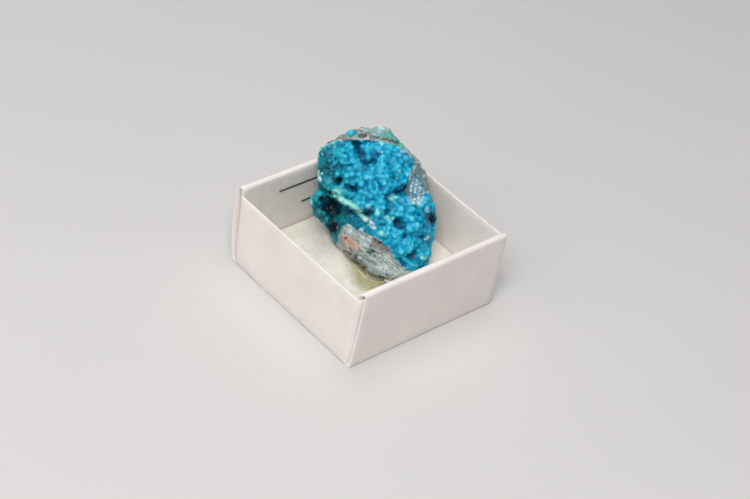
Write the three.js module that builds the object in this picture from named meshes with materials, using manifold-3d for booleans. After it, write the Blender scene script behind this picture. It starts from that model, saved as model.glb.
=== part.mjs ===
// A chrysocolla specimen fixed in a small folded card tray, as collectors keep them.
// The pieces are the folded tray, the foam pad in its bottom, the glue that holds the stone on the pad,
// the stone with its blue botryoidal crust, and the bare clear label on the inside of the back wall.
// Millimetres, +Z up. The pieces are drawn about the middle of the tray's base and centred at the very end.
// The back wall, with the label, is at +Y.
import * as THREE from "three";
import { ConvexGeometry } from "three/addons/geometries/ConvexGeometry.js";
import { mergeVertices } from "three/addons/utils/BufferGeometryUtils.js";
import Module from "manifold-3d";

const wasm = await Module();
wasm.setup();

// Driving dimensions of the tray, the pad and the label
const trayWidth = 40;
const trayHeight = 19.4;
const cardThickness = 0.45;
const doubleWallThickness = 1.6;
const leftWallDrop = 1.9;
const rightWallDrop = 1.1;
const bottomFoldRadius = 0.5;
const cornerFoldRadius = 1.5;
const cornerTabLength = 9;
const rimEndInset = 0.4;
const backWallLean = 0.9;
const padTop = 4.9;
const padGap = 0.15;
const labelWidth = 25;
const labelHeight = 12;
const labelTop = 18.4;
const labelThickness = 0.12;
const faceGap = 0.08;

// How the stone stands in the tray. Its own frame has u to the right along the blue face, v up the face and
// w out of the face. The face looks towards this azimuth and elevation, and the stone is rolled about w.
const faceAzimuth = -47.2;
const faceElevation = 38.5;
const faceRoll = 11.1;
const stoneFrameHeight = 10;
const stoneUnderside = 5.5;
const bubbleSink = 0.55;
const bubbleJitter = 0.45;
const glueGap = 0.3;
const glueThickness = 0.45;
const collarRise = 0.5;
const collarFootSpread = 1.13;
const collarTopSpread = 1.06;

// How many straight steps a rounded rim and a small fold are drawn with
const rimSteps = 5;
const foldSteps = 3;

const half = trayWidth / 2;
const wallInside = half - doubleWallThickness;
const degrees = Math.PI / 180;

// Turns a three.js geometry into a manifold-3d solid, with its shared vertices merged.
function solidOf(geometry) {
  const bare = geometry.index ? geometry.toNonIndexed() : geometry.clone();
  const positions = new THREE.BufferGeometry().setAttribute("position", bare.getAttribute("position"));
  const merged = mergeVertices(positions, 1e-4);
  return new wasm.Manifold(
    new wasm.Mesh({
      numProp: 3,
      vertProperties: new Float32Array(merged.attributes.position.array),
      triVerts: new Uint32Array(merged.index.array),
    }),
  );
}

function geometryOf(solid) {
  const mesh = solid.getMesh();
  const geometry = new THREE.BufferGeometry();
  geometry.setAttribute("position", new THREE.BufferAttribute(new Float32Array(mesh.vertProperties), 3));
  geometry.setIndex(new THREE.BufferAttribute(new Uint32Array(mesh.triVerts), 1));
  geometry.computeVertexNormals();
  return geometry;
}

const joined = (solids) => solids.reduce((all, next) => all.add(next));
const hullOf = (points) => solidOf(new ConvexGeometry(points));
const boxOf = (low, high) =>
  solidOf(
    new THREE.BoxGeometry(high[0] - low[0], high[1] - low[1], high[2] - low[2]).translate(
      (high[0] + low[0]) / 2,
      (high[1] + low[1]) / 2,
      (high[2] + low[2]) / 2,
    ),
  );

// A repeatable number from 0 to 1 for scattering, the same for the same seed.
function scatter(seed) {
  const wave = Math.sin(seed * 127.1) * 43758.5453;
  return wave - Math.floor(wave);
}

// The folded tray. Its back wall has sprung open a little, so it leans outwards, and the ends of the side
// walls go with it.

const leanSlope = backWallLean / trayHeight;

function leanedBack(geometry) {
  return geometry.translate(0, -half, 0).rotateX(-Math.atan(leanSlope)).translate(0, half, 0);
}

// The double front and back walls: one strip of card folded over at the rim, with a slot between its panels.
function doubleWall(side) {
  const rimRadius = doubleWallThickness / 2;
  const slotRadius = rimRadius - cardThickness;
  const foldHeight = trayHeight - rimRadius;
  const middle = half - rimRadius;
  const profile = new THREE.Shape();
  profile.moveTo(wallInside - cardThickness, 0);
  profile.lineTo(half - bottomFoldRadius, 0);
  profile.absarc(half - bottomFoldRadius, bottomFoldRadius, bottomFoldRadius, -Math.PI / 2, 0, false);
  profile.absarc(middle, foldHeight, rimRadius, 0, Math.PI, false);
  profile.lineTo(wallInside, cardThickness);
  profile.lineTo(wallInside - cardThickness, cardThickness);
  profile.closePath();
  const slotBottom = cardThickness + 0.05;
  const slot = new THREE.Path();
  slot.moveTo(half - cardThickness, slotBottom);
  slot.lineTo(wallInside + cardThickness, slotBottom);
  slot.absarc(middle, foldHeight, slotRadius, Math.PI, 0, true);
  slot.closePath();
  profile.holes.push(slot);
  const length = trayWidth - 2 * rimEndInset;
  const strip = new THREE.ExtrudeGeometry(profile, {
    depth: length,
    bevelEnabled: false,
    curveSegments: rimSteps,
  });
  strip.applyMatrix4(
    new THREE.Matrix4().makeBasis(
      new THREE.Vector3(0, 1, 0),
      new THREE.Vector3(0, 0, 1),
      new THREE.Vector3(1, 0, 0),
    ),
  );
  strip.translate(-length / 2, 0, 0);
  return solidOf(side > 0 ? leanedBack(strip) : strip.rotateZ(Math.PI));
}

// A single side wall with the tab at each end that bends round the corner into the double wall's slot.
function sideWall(side, drop) {
  const slotMiddle = half - doubleWallThickness / 2;
  const tabOuter = slotMiddle + cardThickness / 2;
  const tabInner = slotMiddle - cardThickness / 2;
  const foldX = half - cornerFoldRadius;
  const foldY = tabOuter - cornerFoldRadius;
  const tabEnd = foldX - cornerTabLength;
  const innerRadius = cornerFoldRadius - cardThickness;
  const plan = new THREE.Shape();
  plan.moveTo(tabEnd, -tabOuter);
  plan.lineTo(foldX, -tabOuter);
  plan.absarc(foldX, -foldY, cornerFoldRadius, -Math.PI / 2, 0, false);
  plan.absarc(foldX, foldY, cornerFoldRadius, 0, Math.PI / 2, false);
  plan.lineTo(tabEnd, tabOuter);
  plan.lineTo(tabEnd, tabInner);
  plan.absarc(foldX, foldY, innerRadius, Math.PI / 2, 0, true);
  plan.absarc(foldX, -foldY, innerRadius, 0, -Math.PI / 2, true);
  plan.lineTo(tabEnd, -tabInner);
  plan.closePath();
  const start = bottomFoldRadius + 0.1;
  const wall = new THREE.ExtrudeGeometry(plan, {
    depth: trayHeight - drop - start,
    bevelEnabled: false,
    curveSegments: foldSteps,
  });
  wall.translate(0, 0, start);
  if (side < 0) wall.rotateZ(Math.PI);
  const corners = wall.getAttribute("position");
  for (let i = 0; i < corners.count; i += 1) {
    if (corners.getY(i) > 0) corners.setY(i, corners.getY(i) + corners.getZ(i) * leanSlope);
  }
  return solidOf(wall);
}

// The base, with the two bottom folds where it turns up into the side walls.
function trayBase() {
  const upstand = bottomFoldRadius + 0.3;
  const profile = new THREE.Shape();
  profile.absarc(half - bottomFoldRadius, bottomFoldRadius, bottomFoldRadius, -Math.PI / 2, 0, false);
  profile.lineTo(half, upstand);
  profile.lineTo(half - cardThickness, upstand);
  profile.lineTo(half - cardThickness, cardThickness);
  profile.lineTo(-half + cardThickness, cardThickness);
  profile.lineTo(-half + cardThickness, upstand);
  profile.lineTo(-half, upstand);
  profile.absarc(-half + bottomFoldRadius, bottomFoldRadius, bottomFoldRadius, Math.PI, Math.PI * 1.5, false);
  profile.closePath();
  const length = 2 * wallInside + 0.4;
  const sheet = new THREE.ExtrudeGeometry(profile, {
    depth: length,
    bevelEnabled: false,
    curveSegments: foldSteps,
  });
  return solidOf(sheet.rotateX(Math.PI / 2).translate(0, length / 2, 0));
}

function cardTray() {
  return joined([
    trayBase(),
    doubleWall(1),
    doubleWall(-1),
    sideWall(-1, leftWallDrop),
    sideWall(1, rightWallDrop),
  ]);
}

// The pad and the label

function foamPad() {
  const reachX = half - cardThickness - padGap;
  const reachY = wallInside - padGap;
  return boxOf([-reachX, -reachY, cardThickness + padGap], [reachX, reachY, padTop]);
}

function clearLabel() {
  const film = new THREE.BoxGeometry(labelWidth, labelThickness, labelHeight);
  film.translate(0, wallInside - faceGap - labelThickness / 2, labelTop - labelHeight / 2);
  return solidOf(leanedBack(film));
}

// The stone, in its own frame (u, v, w)

const towardsViewer = new THREE.Vector3(
  Math.sin(faceAzimuth * degrees) * Math.cos(faceElevation * degrees),
  -Math.cos(faceAzimuth * degrees) * Math.cos(faceElevation * degrees),
  Math.sin(faceElevation * degrees),
);
const levelRight = new THREE.Vector3(Math.cos(faceAzimuth * degrees), Math.sin(faceAzimuth * degrees), 0);
const levelUp = new THREE.Vector3().crossVectors(towardsViewer, levelRight);
const alongU = levelRight
  .clone()
  .multiplyScalar(Math.cos(faceRoll * degrees))
  .addScaledVector(levelUp, Math.sin(faceRoll * degrees));
const alongV = new THREE.Vector3().crossVectors(towardsViewer, alongU);
const stoneAttitude = new THREE.Matrix4()
  .makeBasis(alongU, alongV, towardsViewer)
  .setPosition(0, 0, stoneFrameHeight);
const trayToStone = stoneAttitude.clone().invert();

const inStone = (points) => points.map(([u, v, w]) => new THREE.Vector3(u, v, w));
const fromTray = (points) => points.map(([x, y, z]) => new THREE.Vector3(x, y, z).applyMatrix4(trayToStone));

// Where the stone meets the glue: its foot, as x and y in the tray.
const stoneFoot = [
  [-1.5, 5.4],
  [-1.9, 1.3],
  [-1.7, -2.4],
  [-1.0, -6.0],
  [0.1, -8.0],
  [3.0, -10.5],
  [7.5, -11.0],
  [12.0, -6.0],
  [14.0, -1.0],
  [14.0, 7.0],
  [10.5, 13.0],
  [5.0, 14.5],
  [0.0, 12.0],
  [-1.2, 8.0],
];

// The grey matrix: its top crest, its two flanks and the upper edge of the broken face below the blue.
const matrixPoints = [
  ...fromTray(stoneFoot.map(([x, y]) => [x, y, stoneUnderside])),
  ...fromTray([
    [15.2, 3.5, 15.0],
    [14.8, -2.5, 12.0],
    [12.5, 13.0, 17.0],
    [6.0, 16.2, 15.0],
  ]),
  ...inStone([
    [-10.4, 19.6, -0.4],
    [-8.4, 22.0, -0.8],
    [-4.4, 23.4, -1.6],
    [-0.6, 24.4, -2.2],
    [2.6, 24.7, -1.8],
    [4.7, 24.3, -2.0],
    [7.5, 21.4, -2.4],
    [10.6, 18.0, -3.0],
    [12.2, 15.6, -3.4],
    [12.8, 11.5, -3.8],
    [14.2, 5.2, -3.0],
    [12.9, -1.8, -2.6],
    [12.3, -4.4, -2.0],
    [-10.6, 14.0, -1.2],
    [-8.9, 4.6, -5.6],
    [-8.0, 2.7, -5.8],
    [-6.8, 6.2, -3.2],
    [-5.0, 4.4, -1.2],
    [-2.0, 3.4, 1.0],
    [0.5, 2.3, 2.6],
    [4.7, 0.1, 3.4],
    [6.6, -3.2, 2.6],
    [9.0, -5.6, 0.6],
  ]),
];

// The upper lobe of the crust: a plate that ends below in a ledge, standing clear of the hollow under it.
const upperLobePoints = inStone([
  [-10.3, 19.7, 0.6],
  [-8.6, 21.6, 0.6],
  [-2.7, 22.5, 0.8],
  [0.5, 22.4, 1.0],
  [6.0, 21.9, 0.6],
  [7.5, 20.9, 0.5],
  [9.0, 19.4, 0.2],
  [9.5, 16.8, 0.8],
  [9.2, 13.8, 1.4],
  [7.3, 11.9, 2.6],
  [4.7, 10.6, 3.6],
  [-10.9, 17.8, 0.5],
  [-10.9, 13.9, 0.8],
  [-10.4, 12.0, 1.0],
  [-9.4, 11.5, 2.0],
  [-6.6, 10.4, 3.2],
  [-4.4, 8.7, 4.0],
  [-2.4, 7.2, 4.4],
  [-1.0, 5.6, 4.5],
  [0.6, 5.0, 4.4],
  [-4.0, 15.0, 4.0],
  [0.0, 13.5, 5.0],
  [3.0, 17.0, 4.0],
  [-1.0, 19.5, 2.8],
  [4.0, 12.5, 4.6],
  [6.2, 16.5, 3.0],
  [-9.0, 19.0, -3.0],
  [6.5, 19.0, -3.5],
  [-8.6, 13.5, -1.5],
  [-3.2, 10.4, 0.5],
  [0.8, 7.0, 1.4],
  [7.5, 13.0, -2.0],
]);

// The lower lobe of the crust, down to the tip behind the front wall's rim.
const lowerLobePoints = inStone([
  [1.6, 10.2, 4.0],
  [5.3, 10.6, 3.5],
  [7.9, 10.2, 3.0],
  [10.0, 9.2, 2.2],
  [12.1, 11.0, -0.6],
  [14.0, 10.3, -0.8],
  [14.6, 8.6, -0.8],
  [14.8, 6.7, -0.8],
  [14.8, 5.0, -1.0],
  [13.8, 3.3, -0.8],
  [13.1, 1.4, -0.3],
  [12.6, -1.7, 0.0],
  [12.2, -3.9, 0.3],
  [11.2, -5.4, 0.8],
  [9.4, -5.7, 1.4],
  [7.4, -3.9, 2.8],
  [5.8, -1.7, 3.8],
  [5.0, 0.3, 4.3],
  [3.6, 1.4, 4.3],
  [0.8, 2.4, 3.8],
  [-1.4, 3.8, 2.8],
  [0.0, 6.0, 4.4],
  [6.0, 7.0, 5.0],
  [9.0, 3.0, 4.5],
  [9.0, -1.0, 3.8],
  [11.8, 6.0, 2.4],
  [3.0, 8.0, -2.0],
  [12.0, 8.5, -4.0],
  [11.5, -2.0, -3.5],
  [3.0, 3.0, -1.0],
]);

// The two humps of the crest, with a notch between them.
const crestBlocks = [
  [
    [-4.6, 23.4, -0.6],
    [-3.2, 24.3, -1.2],
    [-1.2, 25.0, -1.8],
    [0.1, 24.9, -2.2],
    [0.4, 23.6, -1.0],
    [-4.2, 22.4, 0.0],
    [0.2, 22.6, 0.2],
    [-4.4, 22.6, -3.0],
    [0.2, 23.6, -3.4],
  ],
  [
    [1.0, 25.0, -1.8],
    [2.6, 25.5, -1.8],
    [4.6, 24.9, -2.0],
    [5.6, 23.8, -1.8],
    [1.0, 23.4, -0.6],
    [5.2, 22.8, -0.4],
    [1.2, 24.0, -3.6],
    [5.2, 23.2, -3.6],
  ],
].map(inStone);

// Steps of the layered rock that run across the broken face, as outlines in the tray with their heights.
const rockLayers = [
  {
    low: 6.4,
    high: 7.7,
    inset: 0.3,
    outline: [[-2.4, 3.6], [-2.5, 1.2], [-2.3, -2.6], [-1.5, -5.8], [-0.5, -7.8], [3.0, -7.0], [3.0, 2.0]],
  },
  {
    low: 8.6,
    high: 10.2,
    inset: 0.35,
    outline: [[-2.0, 4.4], [-2.3, 1.4], [-1.9, -1.4], [-0.8, -4.0], [3.0, -4.4], [3.0, 3.0]],
  },
  {
    low: 11.0,
    high: 12.5,
    inset: 0.25,
    outline: [[-1.7, 2.4], [-1.3, -1.0], [-0.4, -3.4], [1.0, -4.9], [4.0, -3.0], [4.0, 1.0]],
  },
].map(({ low, high, inset, outline }) =>
  fromTray([...outline.map(([x, y]) => [x, y, low]), ...outline.map(([x, y]) => [x + inset, y, high])]),
);

// The pink block that stands out of the broken face.
const pinkBlock = inStone([
  [-5.6, 2.6, -2.4],
  [-3.0, 1.8, -0.8],
  [-2.4, 0.2, -1.0],
  [-3.4, -0.9, -1.9],
  [-5.2, 0.4, -3.4],
  [-3.6, 0.8, -4.5],
]);

// Hollows in the crust: a funnel near the top, the cave under the ledge and smaller pits.
const pits = [
  { at: [0.2, 19.9, 3.0], size: [2.2, 1.4, 2.6] },
  { at: [-0.2, 17.9, 3.6], size: [1.1, 1.6, 2.0] },
  { at: [-7.0, 9.2, 0.6], size: [2.5, 1.4, 2.6] },
  { at: [-7.7, 4.0, -3.2], size: [0.9, 1.5, 1.8] },
  { at: [6.6, 5.0, 5.2], size: [1.8, 1.5, 2.2] },
  { at: [12.9, 5.7, 1.0], size: [1.3, 0.9, 1.8] },
  { at: [-6.2, 13.2, 3.6], size: [0.9, 0.8, 1.2] },
  { at: [7.5, 2.0, 5.0], size: [0.8, 0.7, 1.0] },
  { at: [11.3, 1.6, 2.8], size: [0.8, 0.6, 1.0] },
];

// Single lumps placed by hand: the knob on the left, the knob on the crest and the bubbles in the hollows.
const knobs = [
  { at: [-10.9, 9.4, -0.6], radius: 1.5 },
  { at: [-10.3, 7.2, -1.2], radius: 1.4 },
  { at: [-9.6, 10.6, -0.2], radius: 1.5 },
  { at: [-8.6, 8.2, -2.0], radius: 1.9 },
  { at: [-9.4, 6.3, -1.9], radius: 1.2 },
  { at: [-3.5, 23.5, -0.8], radius: 1.0 },
  { at: [0.3, 18.5, 1.6], radius: 0.95 },
  { at: [-0.6, 20.5, 1.0], radius: 1.0 },
  { at: [6.9, 4.9, 2.9], radius: 0.9 },
];

// The ragged rim of the ledge, as rough crumbs of one size.
const crumbRadius = 0.85;
const ledgeCrumbs = [
  [-9.3, 11.4, 1.8],
  [-7.9, 10.9, 2.4],
  [-6.5, 10.2, 3.0],
  [-5.2, 9.2, 3.4],
  [-4.1, 8.3, 3.8],
  [-2.9, 7.4, 4.1],
  [-1.9, 6.4, 4.3],
  [-0.8, 5.5, 4.4],
];

// The fields of the crust that bubbles cover, as outlines in u and v, with their spacing and size.
const bubbleFields = [
  {
    outline: [
      [-10.7, 19.2], [-8.4, 21.6], [-2.7, 22.3], [6.0, 21.4], [8.6, 19.2], [9.2, 15.0], [6.8, 12.0],
      [3.4, 10.0], [1.2, 6.4], [-0.6, 6.6], [-3.6, 9.4], [-6.2, 11.4], [-10.7, 12.9],
    ],
    spacing: 2.4,
    radius: [1.3, 1.75],
  },
  {
    outline: [
      [1.2, 9.8], [7.6, 9.9], [10.4, 8.8], [12.2, 10.2], [13.9, 8.4], [13.9, 5.2], [12.3, 1.2], [11.4, -3.2],
      [10.4, -4.9], [9.2, -5.0], [6.2, -1.6], [4.8, 0.8], [1.0, 2.7], [-1.2, 4.2],
    ],
    spacing: 2.4,
    radius: [1.25, 1.65],
  },
  {
    outline: [[-8.6, 7.2], [-3.0, 6.4], [-1.2, 4.6], [-5.4, 5.0], [-7.6, 5.4]],
    spacing: 1.9,
    radius: [0.9, 1.15],
  },
  {
    outline: [[9.6, 14.8], [11.6, 13.8], [12.2, 11.4], [9.8, 9.6]],
    spacing: 1.5,
    radius: [0.7, 0.85],
  },
];

function insideOutline(u, v, outline) {
  let inside = false;
  outline.forEach(([u1, v1], i) => {
    const [u2, v2] = outline[(i + 1) % outline.length];
    const crosses = v1 > v !== v2 > v && u < ((u2 - u1) * (v - v1)) / (v2 - v1) + u1;
    if (crosses) inside = !inside;
  });
  return inside;
}

function lump(at, radius, detail = 1) {
  const ball = new THREE.IcosahedronGeometry(radius, detail);
  ball.rotateX(at[0] * 3.1);
  ball.rotateZ(at[1] * 1.7);
  return solidOf(ball.translate(...at));
}

function pit({ at, size }) {
  return solidOf(new THREE.IcosahedronGeometry(1, 1).scale(...size).translate(...at));
}

// Rows of bubbles on a slightly uneven triangular grid, each one sunk into the surface under it.
function bubblesOn(surface, field, seed) {
  const ray = new THREE.Raycaster();
  const us = field.outline.map((p) => p[0]);
  const vs = field.outline.map((p) => p[1]);
  const bubbles = [];
  const rowStep = field.spacing * Math.sin(60 * degrees);
  let row = 0;
  for (let v = Math.min(...vs); v <= Math.max(...vs); v += rowStep) {
    const shift = (row % 2) * field.spacing * 0.5;
    let column = 0;
    for (let u = Math.min(...us) + shift; u <= Math.max(...us); u += field.spacing) {
      const number = seed + row * 31 + column;
      const bubbleU = u + (scatter(number) - 0.5) * field.spacing * bubbleJitter;
      const bubbleV = v + (scatter(number + 500) - 0.5) * field.spacing * bubbleJitter;
      column += 1;
      if (!insideOutline(bubbleU, bubbleV, field.outline)) continue;
      ray.set(new THREE.Vector3(bubbleU, bubbleV, 40), new THREE.Vector3(0, 0, -1));
      const hit = ray.intersectObject(surface)[0];
      if (!hit) continue;
      const radius = field.radius[0] + (field.radius[1] - field.radius[0]) * scatter(number + 900);
      bubbles.push(lump([bubbleU, bubbleV, hit.point.z - bubbleSink * radius], radius));
    }
    row += 1;
  }
  return bubbles;
}

function stone() {
  const base = joined([
    ...[matrixPoints, upperLobePoints, lowerLobePoints, ...crestBlocks, ...rockLayers, pinkBlock].map(hullOf),
  ]);
  const surface = new THREE.Mesh(geometryOf(base), new THREE.MeshBasicMaterial({ side: THREE.DoubleSide }));
  const bubbles = bubbleFields.flatMap((field, i) => bubblesOn(surface, field, 1000 * (i + 1)));
  const hollowed = pits.reduce((left, hollow) => left.subtract(pit(hollow)), joined([base, ...bubbles]));
  return joined([
    hollowed,
    ...knobs.map(({ at, radius }) => lump(at, radius)),
    ...ledgeCrumbs.map((at) => lump(at, crumbRadius, 0)),
  ]);
}

// The glue

// The patch of clear glue on the pad, as x and y in the tray.
const gluePatch = [
  [-2.6, 8.6],
  [-3.4, 3.2],
  [-4.6, -1.6],
  [-6.4, -5.0],
  [-6.2, -9.0],
  [-3.4, -12.6],
  [2.4, -14.4],
  [8.6, -13.6],
  [13.4, -8.0],
  [15.2, -1.0],
  [15.0, 8.0],
  [11.4, 14.2],
  [4.8, 15.8],
  [-0.6, 13.2],
];

// The middle of the stone, in the tray. The collar's outline and its pocket are scaled about it.
const stoneMiddle = new THREE.Vector3(5.5, 1, 15);

// The stone's foot, spread outwards by this factor, at this height.
function spreadFoot(spread, height) {
  const level = new THREE.Vector3(spread, spread, 0);
  return stoneFoot.map(([x, y]) => {
    const corner = new THREE.Vector3(x, y, 0).sub(stoneMiddle).multiply(level);
    return corner.add(stoneMiddle).setZ(height);
  });
}

// The patch on the pad with a low collar round the stone's foot, and a pocket that the foot stands in.
function mountingGlue() {
  const bottom = padTop + faceGap;
  const patch = new THREE.Shape(gluePatch.map(([x, y]) => new THREE.Vector2(x, y)));
  const sheet = new THREE.ExtrudeGeometry(patch, { depth: glueThickness, bevelEnabled: false });
  const collar = hullOf([
    ...spreadFoot(collarFootSpread, bottom),
    ...spreadFoot(collarTopSpread, stoneUnderside + collarRise),
  ]);
  const growth = 1 + glueGap / (stoneMiddle.z - stoneUnderside);
  const pocket = matrixPoints.map((point) => {
    const inTray = point.clone().applyMatrix4(stoneAttitude);
    return inTray.sub(stoneMiddle).multiplyScalar(growth).add(stoneMiddle);
  });
  return solidOf(sheet.translate(0, 0, bottom)).add(collar).subtract(hullOf(pocket));
}

// The assembly

function piece(name, solid, colour, roughness, extra = {}) {
  const material = new THREE.MeshStandardMaterial({ color: colour, roughness, metalness: 0, ...extra });
  const mesh = new THREE.Mesh(geometryOf(solid), material);
  mesh.name = name;
  return mesh;
}

const thinFilm = { transparent: true, opacity: 0.35 };
const clearGlue = { transparent: true, opacity: 0.5 };

const trayWithStone = new THREE.Group();
trayWithStone.add(piece("card_tray", cardTray(), 0xe9e5e2, 0.6));
trayWithStone.add(piece("foam_pad", foamPad(), 0xd9d4c6, 0.9));
trayWithStone.add(piece("clear_label", clearLabel(), 0xf2f3f1, 0.3, thinFilm));
trayWithStone.add(piece("mounting_glue", mountingGlue(), 0xbdb98c, 0.25, clearGlue));

const standingStone = new THREE.Group();
stoneAttitude.decompose(standingStone.position, standingStone.quaternion, standingStone.scale);
standingStone.add(piece("chrysocolla_stone", stone(), 0x1295be, 0.45));
trayWithStone.add(standingStone);

// The leaning back wall reaches out past the base, so the whole is moved until it is centred on the origin.
const outline = new THREE.Box3().setFromObject(trayWithStone, true).getCenter(new THREE.Vector3());
trayWithStone.position.set(-outline.x, -outline.y, 0);

const specimenInTray = new THREE.Group();
specimenInTray.add(trayWithStone);

export default specimenInTray;
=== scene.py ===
import math

import bmesh
import bpy
import numpy as np
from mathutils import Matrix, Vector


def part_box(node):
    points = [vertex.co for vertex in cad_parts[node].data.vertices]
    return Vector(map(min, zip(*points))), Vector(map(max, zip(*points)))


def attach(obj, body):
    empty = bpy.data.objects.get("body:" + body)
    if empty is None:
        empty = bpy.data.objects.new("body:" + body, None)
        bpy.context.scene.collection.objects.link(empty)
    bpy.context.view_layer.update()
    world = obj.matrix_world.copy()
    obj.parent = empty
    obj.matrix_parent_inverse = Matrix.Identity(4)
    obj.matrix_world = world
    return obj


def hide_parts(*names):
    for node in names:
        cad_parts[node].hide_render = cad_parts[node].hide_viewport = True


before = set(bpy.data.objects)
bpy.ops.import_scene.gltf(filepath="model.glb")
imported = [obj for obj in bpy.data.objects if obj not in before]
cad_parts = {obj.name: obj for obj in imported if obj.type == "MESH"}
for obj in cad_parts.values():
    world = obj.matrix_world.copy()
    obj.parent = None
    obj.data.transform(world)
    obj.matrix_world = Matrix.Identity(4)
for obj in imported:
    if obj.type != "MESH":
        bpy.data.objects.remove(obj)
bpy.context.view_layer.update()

import openvdb
from mathutils import Matrix, Vector

# Everything is drawn in millimetres about the middle of the tray's base, like the solids, and moved to the
# row frame in metres by toRow.
mm = 0.001
trayHalf = 20.0
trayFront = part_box("card_tray")[0][1]
rowShift = np.array([0.0, trayFront / mm + trayHalf, 0.0])


def toRow(points):
    return (np.asarray(points, float).reshape(-1, 3) + rowShift) * mm


# Colours are given as hex values from a colour picker and turned to linear light.
def hexColour(text):
    channels = [int(text[i:i + 2], 16) / 255 for i in (0, 2, 4)]
    linear = [c / 12.92 if c <= 0.04045 else ((c + 0.055) / 1.055) ** 2.4 for c in channels]
    return (*linear, 1.0)


# A socket with arithmetic: an expression on sockets adds its Math nodes.
class Wire:
    def __init__(self, graph, socket):
        self.graph = graph
        self.socket = socket

    def join(self, operation, first, second):
        return self.graph.node("ShaderNodeMath", {"operation": operation}, {0: first, 1: second})

    def __add__(self, other):
        return self.join("ADD", self, other)

    __radd__ = __add__

    def __sub__(self, other):
        return self.join("SUBTRACT", self, other)

    def __rsub__(self, other):
        return self.join("SUBTRACT", other, self)

    def __mul__(self, other):
        return self.join("MULTIPLY", self, other)

    __rmul__ = __mul__

    def atLeast(self, other):
        return self.join("MAXIMUM", self, other)

    def atMost(self, other):
        return self.join("MINIMUM", self, other)

    # 0 below low, 1 above high, smooth between
    def between(self, low, high):
        settings = {"interpolation_type": "SMOOTHSTEP"}
        return self.graph.node("ShaderNodeMapRange", settings, {0: self, 1: low, 2: high, 3: 0.0, 4: 1.0})


# A material under construction. Constants go on the shader's own sockets.
class Finish:
    def __init__(self, name, constants):
        self.material = bpy.data.materials.new(name)
        self.material.use_nodes = True
        self.tree = self.material.node_tree
        self.shader = self.tree.nodes["Principled BSDF"]
        for socket, value in constants.items():
            self.shader.inputs[socket].default_value = value

    def feed(self, socket, value):
        if isinstance(value, Wire):
            self.tree.links.new(value.socket, socket)
        else:
            socket.default_value = value

    # any node: its type, its settings, its sockets' values or links, and the output that is used
    def node(self, kind, settings=None, sockets=None, output=0):
        made = self.tree.nodes.new(kind)
        for name, value in (settings or {}).items():
            if name == "stops":
                self.setStops(made.color_ramp, value)
            else:
                setattr(made, name, value)
        for name, value in (sockets or {}).items():
            self.feed(made.inputs[name], value)
        return Wire(self, made.outputs[output])

    def setStops(self, ramp, stops):
        while len(ramp.elements) < len(stops):
            ramp.elements.new(0.5)
        for element, (place, colour) in zip(ramp.elements, stops):
            element.position = place
            element.color = colour

    def place(self):  # millimetres in the row frame
        coords = self.node("ShaderNodeTexCoord", output="Object")
        return self.node("ShaderNodeVectorMath", {"operation": "SCALE"}, {0: coords, "Scale": 1 / mm})

    def stretch(self, vector, factors):
        return self.node("ShaderNodeVectorMath", {"operation": "MULTIPLY"}, {0: vector, 1: factors})

    def noise(self, vector, perMm, detail=3.0, roughness=0.55, distortion=0.0):
        sockets = {"Vector": vector, "Scale": perMm, "Detail": detail}
        sockets |= {"Roughness": roughness, "Distortion": distortion}
        return self.node("ShaderNodeTexNoise", None, sockets, "Fac")

    def cells(self, vector, perMm):
        return self.node("ShaderNodeTexVoronoi", None, {"Vector": vector, "Scale": perMm}, "Distance")

    def attribute(self, name):
        return self.node("ShaderNodeAttribute", {"attribute_name": name}, None, "Fac")

    def mix(self, share, first, second):
        return self.node("ShaderNodeMix", {"data_type": "RGBA"}, {0: share, 6: first, 7: second}, 2)

    # coats of colour over a base, each given by its share and its colour
    def layered(self, base, *coats):
        for share, colour in coats:
            base = self.mix(share, base, colour)
        return base

    def bump(self, height, depthMm, strength=1.0, under=None):
        sockets = {"Height": height, "Distance": depthMm * mm, "Strength": strength}
        if under is not None:
            sockets["Normal"] = under
        return self.node("ShaderNodeBump", None, sockets, "Normal")

    def surface(self, **sockets):
        for name, value in sockets.items():
            self.feed(self.shader.inputs[name.replace("_", " ")], value)
        return self.material


def addObject(name, data):
    made = bpy.data.objects.new(name, data)
    bpy.context.scene.collection.objects.link(made)
    return made


# A piece on the one body, from points in millimetres, and the solid that it replaces, if any
def meshPiece(name, points, faces, material, slotName, *replaced):
    mesh = bpy.data.meshes.new(name)
    mesh.from_pydata([tuple(p) for p in toRow(points)], [], [tuple(int(i) for i in f) for f in faces])
    mesh.validate()
    mesh.materials.append(material)
    piece = addObject(name, mesh)
    for polygon in mesh.polygons:
        polygon.use_smooth = True
    if replaced:
        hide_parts(*replaced)
    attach(piece, "root")
    return piece


def softenEdges(piece, widthMm, crease):
    bevel = piece.modifiers.new("edge", "BEVEL")
    bevel.width = widthMm * mm
    bevel.segments = 2
    bevel.limit_method = "ANGLE"
    bevel.angle_limit = math.radians(crease)
    bpy.context.view_layer.objects.active = piece
    bpy.ops.object.modifier_apply(modifier=bevel.name)
    piece.data.set_sharp_from_angle(angle=math.radians(crease))


def ease(value, low, high):
    t = np.clip((value - low) / (high - low), 0, 1)
    return t * t * (3 - 2 * t)


# Camera: fitted to the tray's corners
cameraPlan = {
    "position": (-243.840, -228.192, 275.373),
    "right": (0.75486, -0.63838, 0.15055),
    "up": (0.31775, 0.55673, 0.76752),
    "lens": 96.74,
    "sensor": 36.0,
    "clip": (0.01, 10.0),
}


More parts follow.
